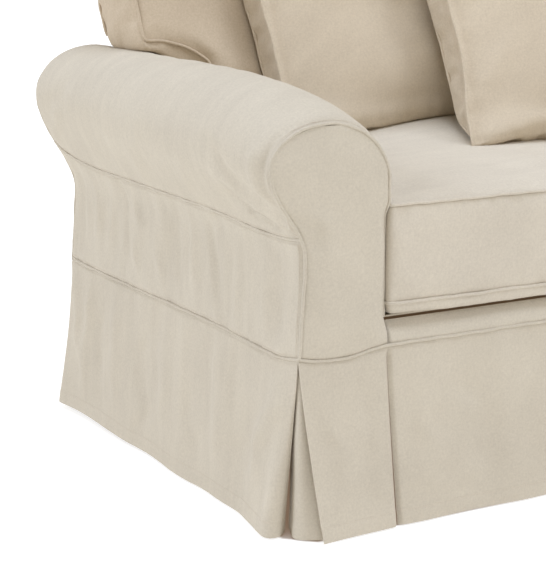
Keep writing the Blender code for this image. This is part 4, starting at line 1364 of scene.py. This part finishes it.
# How far each part of a cushion may swell, in metres.
reach = {
    "still": 0.001,
    "seat": 0.005,
    "back": 0.006,
    "backRear": 0.002,
    "pillow": 0.009,
    "pillowRear": 0.0015,
}
softFinish = {
    "crease": 0.75,          # of the edges along a seam, for the subdivision
    "seamPoints": 900,       # along one seam
    "uneven": (0.0012, 0.10, 0.10),
    "seamSoft": 0.018,
    "boxing": (0.0032, 0.019, 0.08),     # wrinkles of the strip between two faces
    "boxingSoft": 0.006,
    "pucker": 0.0016,
    "groove": 0.6,
    "ridgeLift": 0.0022,
}


def latticeSurface(counts, kept, shape):
    # the outer faces of a block of cells, with the cells outside `kept` left away
    ni, nj, nk = counts
    mask = np.zeros((ni + 2, nj + 2, nk + 2), bool)
    i, j, k = np.meshgrid(np.arange(ni), np.arange(nj), np.arange(nk), indexing="ij")
    mask[1:-1, 1:-1, 1:-1] = kept(i, j, k)
    quads, axes = [], []
    corners = {
        0: ((0, 0, 0), (0, 1, 0), (0, 1, 1), (0, 0, 1)),
        1: ((0, 0, 0), (0, 0, 1), (1, 0, 1), (1, 0, 0)),
        2: ((0, 0, 0), (1, 0, 0), (1, 1, 0), (0, 1, 0)),
    }
    for axis in range(3):
        step = np.eye(3, dtype=int)[axis]
        for way in (-1, 1):
            beside = np.roll(mask, -way, axis=axis)
            cells = np.argwhere(mask & ~beside) - 1
            offsets = np.array(corners[axis]) + step * (way > 0)
            faces = cells[:, None, :] + offsets[None]
            if way < 0:
                faces = faces[:, ::-1]
            quads.append(faces)
            axes.append(np.full(len(faces), axis))
    quads, axes = np.concatenate(quads), np.concatenate(axes)
    flat = np.ravel_multi_index(quads.reshape(-1, 3).T, (ni + 1, nj + 1, nk + 1))
    used, numbers = np.unique(flat, return_inverse=True)
    spots = np.stack(np.unravel_index(used, (ni + 1, nj + 1, nk + 1)), axis=1)
    points = shape(*spots.T.astype(float))
    return points, numbers.reshape(-1, 4), axes, spots


def wholeBlock(i, j, k):
    return i >= 0


def softMesh(name, lattice, material):
    points, quads, axes, spots = lattice
    mesh = bpy.data.meshes.new(name)
    mesh.from_pydata(points.tolist(), [], quads.tolist())
    uv = mesh.uv_layers.new(name="cloth")
    across = np.array([(1, 2), (0, 2), (0, 1)])[axes]
    sizes = pieceScale(points, quads, spots)
    placed = spots * sizes
    values = np.take_along_axis(placed[quads], across[:, None, :], axis=2)
    uv.data.foreach_set("uv", values.reshape(-1, 2).ravel())
    spot = mesh.attributes.new("spot", "FLOAT_VECTOR", "POINT")
    spot.data.foreach_set("vector", spots.astype(float).ravel())
    mesh.materials.append(material)
    mesh.shade_smooth()
    made = bpy.data.objects.new(name, mesh)
    bpy.context.scene.collection.objects.link(made)
    return made


def pieceScale(points, quads, spots):
    # the mean real length of a cell along each lattice direction
    ends = spots[quads]
    sizes = []
    for axis in range(3):
        lengths = []
        for a, b in ((0, 1), (1, 2)):
            along = np.abs(ends[:, a] - ends[:, b]).argmax(axis=1) == axis
            run = np.linalg.norm(points[quads[along, a]] - points[quads[along, b]], axis=1)
            lengths.append(run)
        sizes.append(float(np.concatenate(lengths).mean()))
    return np.array(sizes)


def bendForward(up):
    return backRest["bend"] * np.maximum(up - backRest["bendAbove"], 0.0) ** 2


def backFace(up):
    return backRest["faceBack"] + (up - backRest["faceUp"]) * backRest["lean"] - bendForward(up)


def seatTop(out, back):
    first = cover["armWidth"] + seat["sideGap"]
    width = cover["wallWidth"] / 2 - seat["sideGap"] / 2 - first
    fromMiddle = np.abs(out - cover["wallWidth"] / 2) - seat["sideGap"] / 2
    u = np.clip(1.0 - fromMiddle / width, 0.0, 1.0) * 2.0 - 1.0
    v = np.clip((back - seat["front"]) / seat["depth"], 0.0, 1.0) * 2.0 - 1.0
    overU = (u - seat["plumpAt"][0]) / seat["plumpWide"][0]
    overV = (v - seat["plumpAt"][1]) / seat["plumpWide"][1]
    plump = seat["plump"] * np.exp(-(overU**2) - overV**2) * (1.0 - u**4) * (1.0 - v**4)
    return seat["edge"] + seat["crown"] * (1.0 - np.abs(u) ** 4) * (1.0 - np.abs(v) ** 4) + plump


def seatLattice(flip):
    first = cover["armWidth"] + seat["sideGap"]
    last = cover["wallWidth"] / 2 - seat["sideGap"] / 2
    turn = np.linspace(0, math.pi / 2, seat["underRows"] + 1)
    under = seat["bottom"] + seat["underRound"] * (1.0 - np.cos(turn))
    upright = np.linspace(seat["bottom"] + seat["underRound"], seat["edge"], seat["sideRows"] + 1)
    sideUps = np.concatenate([under, upright[1:]])
    counts = (int((last - first) / seat["mesh"]), int(seat["depth"] / seat["mesh"]), len(sideUps) - 1)

    def shape(i, j, k):
        ups = sideUps[k.astype(int)]
        below = np.clip(1.0 - (ups - seat["bottom"]) / seat["underRound"], 0.0, 1.0)
        inset = seat["underInset"] * (1.0 - np.sqrt(1.0 - below**2))
        out = first + inset + (last - first - 2 * inset) * i / counts[0]
        back = seat["front"] + inset + (seat["depth"] - 2 * inset) * j / counts[1]
        ups = np.where(k == counts[2], seatTop(out, back), ups)
        along = ease(i / counts[0] / seat["lipFrom"])
        ups = ups - seat["lipDrop"] * seat["lip"] * along * ease(1.0 - j / 3.0) * ease(1.0 - k / 6.0)
        back = back - (j == 0) * ease(1.0 - k / seat["underRows"]) * seat["lip"] * along
        return flip(place(np.stack([out, back, ups], axis=1)))

    return counts, latticeSurface(counts, wholeBlock, shape)


def armTopAt(out):
    # height of the arm's roll under the back cushion's ear
    outline = armOutline(backRest["armProbe"])
    upper = outline[outline[:, 1] >= arm["rightUp"]]
    upper = upper[np.argmin(upper[:, 0]):]
    return np.interp(out, upper[:, 0], upper[:, 1])


def backLattice(flip):
    last = cover["wallWidth"] / 2 - seat["sideGap"] / 2
    earOut, earUp = np.array(backRest["earOut"]), np.array(backRest["earUp"])
    earCells = int(round((backRest["bodyOut"] - earOut[0]) / backRest["mesh"]))
    bodyCells = int(round((last - backRest["bodyOut"]) / backRest["mesh"]))
    earOuts = np.linspace(earOut[0], earOut[-1], earCells + 1)
    outs = np.concatenate([earOuts, np.linspace(earOut[-1], last, bodyCells + 1)[1:]])
    lowCells, highCells, thickCells = backRest["rows"]
    seatMiddle = (cover["armWidth"] + seat["sideGap"] + last) / 2
    front = backFace(seat["edge"] + seat["crown"])
    foot = float(seatTop(np.array([seatMiddle]), np.array([front]))[0]) + backRest["rest"]
    top = backRest["top"]
    notchOut = [*earOut, earOut[-1] + 0.03, earOut[-1] + 0.06]
    notchUp = [*earUp, backRest["notch"], backRest["notch"]]

    def shape(i, j, k):
        out = outs[i.astype(int)]
        share = j / thickCells
        notch = through(notchOut, notchUp, out)
        low = foot + (notch - foot) * k / lowCells
        high = notch + (top - notch) * (k - lowCells) / highCells
        up = np.where(k < lowCells, low, high)
        across = (out - outs[0]) / (last - outs[0])
        rise = (up - foot) / (top - foot)
        crown = np.maximum((1 - np.abs(2 * across - 1) ** 3) * (1 - np.abs(2 * rise - 1) ** 3), 0.0)
        back = backFace(up) + share * backRest["thickness"]
        back -= np.where(j == 0, backRest["crown"] * crown, 0.0)
        back += np.where(j == thickCells, backRest["rearCrown"] * crown, 0.0)
        overArm = (i <= earCells) & (k == lowCells)
        lying = armTopAt(out) + backRest["rest"]
        lies = np.interp(j, backRest["earRows"], backRest["earLies"])
        tucked = np.interp(j, backRest["earRows"], backRest["earTucks"])
        below = np.maximum(up - lying, 0.0) * ease((earCells - i) / 2.0 + 0.2)
        up = up - overArm * below * lies
        back = back + overArm * tucked
        arch = np.sin(share * math.pi)
        out = out - (i == 0) * backRest["sideBulge"] * arch
        up = up + (k == lowCells + highCells) * backRest["topBulge"] * arch
        return flip(place(np.stack([out, back, up], axis=1)))

    counts = (len(outs) - 1, thickCells, lowCells + highCells)

    def besideNotch(i, j, k):
        return (k >= lowCells) | (i >= earCells)

    return counts, latticeSurface(counts, besideNotch, shape), earCells, lowCells


def pillowAxes(turn, lean, roll):
    turn, lean, roll = (math.radians(angle) for angle in (turn, lean, roll))
    along = np.array([math.cos(turn), math.sin(turn), 0.0])
    away = np.array([-math.sin(turn), math.cos(turn), 0.0])
    rise = math.cos(lean) * np.array([0.0, 0.0, 1.0]) + math.sin(lean) * away
    width = math.cos(roll) * along + math.sin(roll) * rise
    height = -math.sin(roll) * along + math.cos(roll) * rise
    return width, height, np.cross(width, height)


def pillowLattice(row, flip):
    corner = np.array(row[:3])
    width, height, front = pillowAxes(*row[3:6])
    mesh = pillow["mesh"]
    counts = (int(pillow["width"] / mesh), pillow["cells"], int(pillow["height"] / mesh))
    pinchU, pinchV = pillow["pinchFrom"]
    tipU, tipV = pillow["tipFrom"]
    sagUp, sagWide, sagSoft = pillow["sagAt"]

    def shape(i, j, k):
        u, v = i / counts[0] * 2 - 1, k / counts[2] * 2 - 1
        share, face = j / counts[1], j == counts[1]
        full = pillow["fullness"]
        crown = (1 - np.abs(u) ** full) * (1 - np.abs(v) ** np.where(v < 0, pillow["belly"], full))
        pinch = ease((np.abs(u) - pinchU) / (1 - pinchU)) * ease((np.abs(v) - pinchV) / (1 - pinchV))
        drawn = 2 * pillow["pull"] * (1 - v * v) / pillow["width"]
        across = (0.5 + 0.5 * u * (1 - drawn)) * pillow["width"]
        drawn = 2 * pillow["pull"] * (1 - u * u) / pillow["height"]
        rise = (0.5 + 0.5 * v * (1 - drawn)) * pillow["height"]
        out = -pillow["boxing"] * (1 - share) * (1 - pillow["pinch"] * pinch)
        out = out + face * pillow["crown"] * crown - (j == 0) * pillow["rearCrown"] * crown
        fromU = (u - pillow["bellyAt"][0]) / pillow["bellyWide"][0]
        fromV = (v - pillow["bellyAt"][1]) / pillow["bellyWide"][1]
        out = out + face * pillow["bellyOut"] * np.exp(-(fromU**2) - fromV**2)
        tip = (u < 0) * ease((np.abs(u) - tipU) / (1 - tipU)) * ease((-v - tipV) / (1 - tipV)) * share
        across = across - row[6] * tip
        points = corner + across[:, None] * width + rise[:, None] * height + out[:, None] * front
        points[:, 1] -= bendForward(points[:, 2])
        rest = seatTop(points[:, 0], points[:, 1]) + backRest["rest"]
        hang = face * np.exp(-(((v + sagUp) / sagWide) ** 2)) * ease((1.0 - np.abs(u)) / sagSoft)
        points += pillow["sag"] * hang[:, None] * (front - np.array([0.0, 0.0, 1.0]))
        between = ease(share / pillow["underSoft"]) * ease((1 - share) / pillow["underSoft"])
        points[:, 2] -= (k == 0) * between * np.maximum(points[:, 2] - rest, 0.0)
        points[:, 2] = np.maximum(points[:, 2], rest)
        return flip(place(points))

    return counts, latticeSurface(counts, wholeBlock, shape)


def ringOf(corners):
    # lattice places along a closed run between corners
    ring = []
    for a, b in zip(corners, corners[1:] + corners[:1]):
        a, b = np.array(a), np.array(b)
        steps = int(np.abs(b - a).max())
        ring += [tuple(a + (b - a) * step // steps) for step in range(steps)]
    return ring


softPieces = []


def addSoft(name, slotName, counts, lattice, rings, pinned, cap, face, seed, fill, folds):
    # `cap` says how far each point may swell, and `face` which side shows its folds
    piece = softMesh(name + "_cloth", lattice, cloths[slotName])
    points, spots = lattice[0], lattice[3]
    numbers = {tuple(spot): number for number, spot in enumerate(spots)}
    rings = [[numbers[spot] for spot in ring] for ring in rings]
    held = pinned.copy()
    for ring in rings:
        held[ring] = True
    softPieces.append(
        {
            "piece": piece, "node": name, "slot": slotName, "counts": counts, "start": points,
            "rings": rings, "held": held, "cap": cap, "face": face, "seed": seed, "fill": fill,
            "folds": folds,
        }
    )


# across the seat and back from its front, twice; half width; height
seatFolds = (
    (0.040, 0.070, 0.120, 0.160, 0.018, 0.0020),
    (0.020, 0.160, 0.110, 0.230, 0.020, -0.0018),
    (0.300, 0.060, 0.420, 0.180, 0.040, 0.0020),
)


def addSeatCushion(side, flip, seed):
    counts, lattice = seatLattice(flip)
    spots = lattice[3]
    ni, nj, nk = counts
    seams = (nk, seat["underRows"])
    rings = [ringOf([(0, 0, k), (ni, 0, k), (ni, nj, k), (0, nj, k)]) for k in seams]
    pinned = spots[:, 2] <= seat["underRows"]
    atSide = (spots[:, 0] == 0) | (spots[:, 0] == ni)
    cap = np.where(atSide, reach["still"], reach["seat"])
    name = f"seat_cushion_{side}"
    addSoft(name, "seat_cloth", counts, lattice, rings, pinned, cap, "top", seed, 0.8, seatFolds)


# across the cushion and up it, twice; half width; height
backFolds = (
    (0.060, 0.060, 0.150, 0.090, 0.014, -0.0020),
    (0.080, 0.160, 0.220, 0.110, 0.024, 0.0030),
)


def addBackCushion(side, flip, seed):
    counts, lattice, earCells, lowCells = backLattice(flip)
    spots = lattice[3]
    ni, nj, nk = counts
    corners = [(earCells, 0), (ni, 0), (ni, nk), (0, nk), (0, lowCells), (earCells, lowCells)]
    rings = [ringOf([(i, j, k) for i, k in corners]) for j in (0, nj)]
    inner = spots[:, 0] == ni
    notchSide = (spots[:, 0] == earCells) & (spots[:, 2] <= lowCells)
    underneath = (spots[:, 2] == 0) | ((spots[:, 2] == lowCells) & (spots[:, 0] <= earCells))
    cap = np.where(inner | underneath | notchSide, reach["still"], reach["back"])
    cap = np.where(spots[:, 1] == nj, reach["backRear"], cap)
    pinned = spots[:, 2] == 0
    name = f"back_cushion_{side}"
    addSoft(name, "back_cloth", counts, lattice, rings, pinned, cap, "front", seed, 0.75, backFolds)


# On a pillow's face: across, up, across, up, half width, height.
pillowFolds = {
    "pillow_left": (
        (0.400, -0.100, 0.420, 0.520, 0.100, -0.0058),
        (0.240, 0.060, 0.262, 0.400, 0.026, 0.0024),
        (0.515, 0.020, 0.370, 0.120, 0.014, 0.0036),
        (0.500, 0.010, 0.320, 0.060, 0.013, -0.0036),
        (0.515, 0.050, 0.400, 0.200, 0.016, -0.0030),
    ),
    "pillow_middle": (
        (0.040, 0.012, 0.190, 0.030, 0.012, -0.0016),
        (0.020, 0.080, 0.110, 0.190, 0.020, -0.0012),
        (0.060, 0.160, 0.080, 0.400, 0.026, 0.0016),
    ),
}
pillowFolds["pillow_right"] = pillowFolds["pillow_left"]


def addPillow(name, row, flip, seed):
    counts, lattice = pillowLattice(row, flip)
    spots = lattice[3]
    ni, nj, nk = counts
    corners = [(0, 0), (ni, 0), (ni, nk), (0, nk)]
    rings = [ringOf([(i, j, k) for i, k in corners]) for j in (0, nj)]
    pinned = (spots[:, 2] == 0) & (spots[:, 1] > 0) & (spots[:, 1] < nj)
    cap = np.where(spots[:, 1] == 0, reach["pillowRear"], reach["pillow"])
    folds = pillowFolds[name]
    addSoft(name, "pillow_cloth", counts, lattice, rings, pinned, cap, "face", seed, 0.7, folds)


def evaluatedPoints(piece):
    got = piece.evaluated_get(bpy.context.evaluated_depsgraph_get())
    values = np.empty(len(got.data.vertices) * 3)
    got.data.vertices.foreach_get("co", values)
    return values.reshape(-1, 3)


def swellAll():
    # every cover swells in one run of the simulation, then its reach is capped
    scene = bpy.context.scene
    for soft in softPieces:
        piece = soft["piece"]
        held = piece.vertex_groups.new(name="held")
        held.add(np.flatnonzero(soft["held"]).tolist(), 1.0, "REPLACE")
        modifier = piece.modifiers.new("Cloth", "CLOTH")
        settings = modifier.settings
        settings.quality = swelling["quality"]
        settings.mass = swelling["mass"]
        settings.air_damping = swelling["airDamping"]
        settings.tension_stiffness = settings.compression_stiffness = swelling["stretch"]
        settings.shear_stiffness = swelling["shear"]
        settings.bending_stiffness = swelling["bending"]
        settings.use_pressure = True
        settings.uniform_pressure_force = swelling["pressure"]
        settings.shrink_min = -swelling["slack"]
        settings.vertex_group_mass = "held"
        settings.effector_weights.gravity = 0.0
        modifier.collision_settings.use_collision = False
        modifier.point_cache.frame_start = 1
        modifier.point_cache.frame_end = swelling["frames"]
    for number in range(1, swelling["frames"] + 1):
        scene.frame_set(number)
    for soft in softPieces:
        moved = evaluatedPoints(soft["piece"]) - soft["start"]
        far = np.linalg.norm(moved, axis=1)
        share = np.minimum(1.0, soft["cap"] / np.maximum(far, 1e-9))
        soft["swollen"] = soft["start"] + moved * share[:, None]
        print("  ", soft["node"], "moved", round(float(far.max()) * 1000, 1), "mm before its cap")
    for soft in softPieces:
        soft["piece"].modifiers.clear()
        soft["piece"].vertex_groups.clear()
    scene.frame_set(1)


def readVectors(mesh, name):
    data = mesh.attributes[name].data
    values = np.empty(len(data) * 3)
    data.foreach_get("vector", values)
    return values.reshape(-1, 3)


def finishSoft(soft):
    piece, seed = soft["piece"], soft["seed"]
    mesh = piece.data
    points = soft.get("swollen", soft["start"])
    mesh.vertices.foreach_set("co", points.ravel())
    crease = mesh.attributes.new("crease_edge", "FLOAT", "EDGE")
    pairs = {tuple(sorted(pair)) for ring in soft["rings"] for pair in zip(ring, ring[1:] + ring[:1])}
    sewn = np.array([tuple(sorted(edge.vertices)) in pairs for edge in mesh.edges], float)
    crease.data.foreach_set("value", softFinish["crease"] * sewn)
    finer = piece.modifiers.new("Subdivision", "SUBSURF")
    finer.levels = finer.render_levels = 1
    made = bpy.data.meshes.new_from_object(piece.evaluated_get(bpy.context.evaluated_depsgraph_get()))
    piece.modifiers.clear()
    piece.data = made
    made.name = piece.name
    points = readVectors(made, "position")
    normals = np.array([vertex.normal[:] for vertex in made.vertices])
    spots = readVectors(made, "spot")
    shares = np.linspace(0, 1, softFinish["seamPoints"])
    lines = [resampled(points[ring + ring[:1]], shares) for ring in soft["rings"]]
    seams = np.concatenate(lines)
    # 10 m apart, so that no two seams pucker alike
    runs = np.concatenate([alongLine(line) + 10.0 * number for number, line in enumerate(lines)])
    tree = KDTree(len(seams))
    for number, point in enumerate(seams):
        tree.insert(point, number)
    tree.balance()
    found = [tree.find(point) for point in points]
    distance = np.array([hit[2] for hit in found])
    along = runs[[hit[1] for hit in found]]
    ni, nj, nk = soft["counts"]
    # the shown face, and the size of a cell on it
    facing, second, cell = {
        "top": (spots[:, 2] > nk - 0.01, spots[:, 1], seat["mesh"]),
        "front": (spots[:, 1] < 0.01, spots[:, 2], backRest["mesh"]),
        "face": (spots[:, 1] > nj - 0.01, spots[:, 2], pillow["mesh"]),
    }[soft["face"]]
    height = foldHeight(spots[:, 0] * cell, second * cell, soft["folds"], seed) * facing
    across, beside = points[:, 0] * 1.1 + points[:, 2], points[:, 1] + points[:, 2]
    height += rough(across, beside, softFinish["uneven"], seed + 3)
    height *= ease(distance / softFinish["seamSoft"])
    boxing = (spots[:, 1] > 0.01) & (spots[:, 1] < nj - 0.01) & (soft["face"] != "top")
    wrinkles = boxing * rough(along, distance, softFinish["boxing"], seed + 9)
    height += wrinkles * ease(distance / softFinish["boxingSoft"])
    height += pucker(distance, along, softFinish["pucker"], seed + 5)
    height += softFinish["groove"] * groove(distance)
    points = points + normals * height[:, None]
    made.vertices.foreach_set("co", points.ravel())
    made.update()
    for ring in soft["rings"]:
        # a pillow's lower edge lies on the seat, so no ridge runs there
        onSeat = soft["face"] == "face"
        shown = ring[ni:] + ring[:1] if onSeat else ring
        line = points[shown] + softFinish["ridgeLift"] * normals[shown]
        addPath(seamPaths, f"seams_{soft['node']}", line, normals[shown], closed=not onSeat)
    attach(piece, "root")
    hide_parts(soft["node"])


for side, flip, seed in (("left", np.asarray, 501), ("right", flipped, 601)):
    addSeatCushion(side, flip, seed)
    addBackCushion(side, flip, seed + 20)
for number, (name, row) in enumerate(pillow["places"].items()):
    addPillow(name, row, np.asarray, 541 + 20 * number)
addPillow("pillow_right", pillow["places"]["pillow_left"], flipped, 641)
swellAll()
for soft in softPieces:
    finishSoft(soft)
print("cushions made")


# The ridges and stitches themselves
thread = {
    "tones": ((0.50, 0.43, 0.34, 1.0), (0.64, 0.57, 0.47, 1.0)),
    "twist": 900.0,
    "roughness": 0.7,
}


def makeThread():
    material = bpy.data.materials.new("thread")
    material.use_nodes = True
    tree = material.node_tree
    surface = tree.nodes["Principled BSDF"]
    coords = tree.nodes.new("ShaderNodeTexCoord").outputs["Object"]
    twist = noiseNode(tree, coords, thread["twist"], 1.0, 0.5)
    mixed = addNode(tree, "ShaderNodeMix", {"data_type": "RGBA"}, i0=twist)
    mixed.inputs[6].default_value, mixed.inputs[7].default_value = thread["tones"]
    tree.links.new(mixed.outputs[2], surface.inputs["Base Color"])
    surface.inputs["Roughness"].default_value = thread["roughness"]
    return material


def slotOf(group):
    words = {"seat_cushion": "seat_cloth", "back_cushion": "back_cloth", "pillow": "pillow_cloth"}
    for word, slotName in words.items():
        if word in group:
            return slotName
    return "skirt_cloth" if group.endswith("skirt") else "cover_cloth"


def makeSeams():
    welts, weltSockets = makeWeltTree()
    rows, rowSockets = makeStitchTree()
    spun = makeThread()
    for number, (group, paths) in enumerate(seamPaths.items()):
        slotName = slotOf(group)
        soft = slotName in ("seat_cloth", "back_cloth", "pillow_cloth")
        values = {
            "Half width": seam["softWide"] if soft else seam["wide"],
            "Height": seam["softHigh"] if soft else seam["high"],
            "Seed": 3.0 + 7.3 * number,
            "Material": cloths[slotName],
        }
        alongPaths(group, paths, welts, weltSockets, values)
    for number, (group, paths) in enumerate(stitchPaths.items()):
        values = {"Seed": 11 + number, "Material": spun}
        alongPaths(group, paths, rows, rowSockets, values)


makeSeams()
print("seams and stitches made")


# Camera, light and floor
view = {
    "place": (-2.1308, -2.5789, 0.9461),
    "pitch": 77.6387,
    "yaw": -29.9439,
    "lens": 109.5,
    "sensor": 36.0,
}
studio = {
    "floor": -0.003,         # just below the hem
    "floorHalf": 12.0,
    "floorTone": (0.42, 0.42, 0.42, 1.0),
    "floorRoughness": 0.9,
    # the floor's own glow: under the cover dim and warm, a painted shadow and painted warm light, and in
    # the open even
    "underGlow": (0.170, 0.112, 0.074, 1.0),
    "openGlow": (0.770, 0.764, 0.750, 1.0),
    "sky": 0.52,
    "background": 1.05,
    # the floor under the cover, where the shadow is painted: half its width, more at the pleats, and half
    # its depth
    "underCover": (0.842, 0.866, 0.451),
    "pleatFrom": 0.375,      # this far forward the pleats start
    "pleatSoft": 0.015,
    "cornerCut": 0.028,
    "glowSoft": 0.004,
    "skyTint": (1.08, 0.98, 0.85, 1.0),
    # each broad lamp: where it shines from, its spread, brightness and tint
    "lamps": {
        "left": ((-3.5, 1.5, 2.2), 22.0, 0.33, (0.88, 1.0, 1.24)),
        "right": ((2.4, -3.4, 3.2), 24.0, 0.24, (0.92, 1.0, 1.17)),
        "top": ((-0.2, -0.6, 4.2), 30.0, 0.45, (0.89, 1.01, 1.23)),
    },
}


def makeCamera():
    scene = bpy.context.scene
    lens = bpy.data.cameras.new("camera")
    lens.lens = view["lens"]
    lens.sensor_width = view["sensor"]
    lens.clip_end = 60.0
    camera = bpy.data.objects.new("camera", lens)
    camera.location = view["place"]
    camera.rotation_euler = (math.radians(view["pitch"]), 0.0, math.radians(view["yaw"]))
    scene.collection.objects.link(camera)
    scene.camera = camera
    scene.view_settings.view_transform = "Standard"


def makeSky():
    # soft light from all round, on a background that shows white
    world = bpy.data.worlds.new("studio")
    world.use_nodes = True
    tree = world.node_tree
    light = tree.nodes["Background"]
    light.inputs["Color"].default_value = studio["skyTint"]
    light.inputs["Strength"].default_value = studio["sky"]
    white = tree.nodes.new("ShaderNodeBackground")
    white.inputs["Color"].default_value = (1.0, 1.0, 1.0, 1.0)
    white.inputs["Strength"].default_value = studio["background"]
    seen = tree.nodes.new("ShaderNodeLightPath")
    mixed = tree.nodes.new("ShaderNodeMixShader")
    tree.links.new(seen.outputs["Is Camera Ray"], mixed.inputs[0])
    tree.links.new(light.outputs[0], mixed.inputs[1])
    tree.links.new(white.outputs[0], mixed.inputs[2])
    tree.links.new(mixed.outputs[0], tree.nodes["World Output"].inputs["Surface"])
    bpy.context.scene.world = world


def makeLamps():
    for name, (where, spread, bright, tint) in studio["lamps"].items():
        lamp = bpy.data.lights.new(name, "SUN")
        lamp.angle = math.radians(spread)
        lamp.energy = bright * math.pi
        lamp.color = tint
        holder = bpy.data.objects.new(name, lamp)
        holder.location = where
        holder.rotation_euler = (-Vector(where)).to_track_quat("-Z", "Y").to_euler()
        bpy.context.scene.collection.objects.link(holder)


def makeFloor():
    half, low = studio["floorHalf"], studio["floor"]
    mesh = bpy.data.meshes.new("floor")
    corners = [(-half, -half, low), (half, -half, low), (half, half, low), (-half, half, low)]
    mesh.from_pydata(corners, [], [(0, 1, 2, 3)])
    floor = bpy.data.objects.new("floor", mesh)
    paint = bpy.data.materials.new("pale_floor")
    paint.use_nodes = True
    tree = paint.node_tree
    surface = tree.nodes["Principled BSDF"]
    surface.inputs["Base Color"].default_value = studio["floorTone"]
    surface.inputs["Roughness"].default_value = studio["floorRoughness"]
    # the floor glows evenly in the open; under the cover it glows faint and warm, a painted shadow and
    # painted warm light that shows through the skirt's slits and under its hem
    coords = tree.nodes.new("ShaderNodeTexCoord").outputs["Object"]
    parts = addNode(tree, "ShaderNodeSeparateXYZ", None, i0=coords)
    width, pleatWidth, depth = studio["underCover"]
    across = mathNode(tree, "ABSOLUTE", parts.outputs[0])
    along = mathNode(tree, "ABSOLUTE", parts.outputs[1])
    start = studio["pleatFrom"]
    forward = mathNode(tree, "MULTIPLY", parts.outputs[1], -1.0)
    edge = addNode(
        tree, "ShaderNodeMapRange", None,
        i0=forward, i1=start, i2=start + studio["pleatSoft"], i3=width, i4=pleatWidth,
    ).outputs[0]
    across = mathNode(tree, "SUBTRACT", across, edge)
    along = mathNode(tree, "SUBTRACT", along, depth)
    both = mathNode(tree, "ADD", across, along)
    corner = mathNode(tree, "MULTIPLY_ADD", both, 0.7, studio["cornerCut"])
    beyond = mathNode(tree, "MAXIMUM", mathNode(tree, "MAXIMUM", across, along), corner)
    soft = studio["glowSoft"]
    glow = addNode(tree, "ShaderNodeMapRange", None, i0=beyond, i1=-soft, i2=soft).outputs[0]
    tint = addNode(tree, "ShaderNodeMix", {"data_type": "RGBA"}, i0=glow)
    # painted shadow and painted warm light under the cover, even white in the open
    tint.inputs[6].default_value = studio["underGlow"]
    tint.inputs[7].default_value = studio["openGlow"]
    tree.links.new(tint.outputs[2], surface.inputs["Emission Color"])
    surface.inputs["Emission Strength"].default_value = 1.0
    mesh.materials.append(paint)
    bpy.context.scene.collection.objects.link(floor)


makeCamera()
makeSky()
makeLamps()
makeFloor()
print("camera, light and floor made")
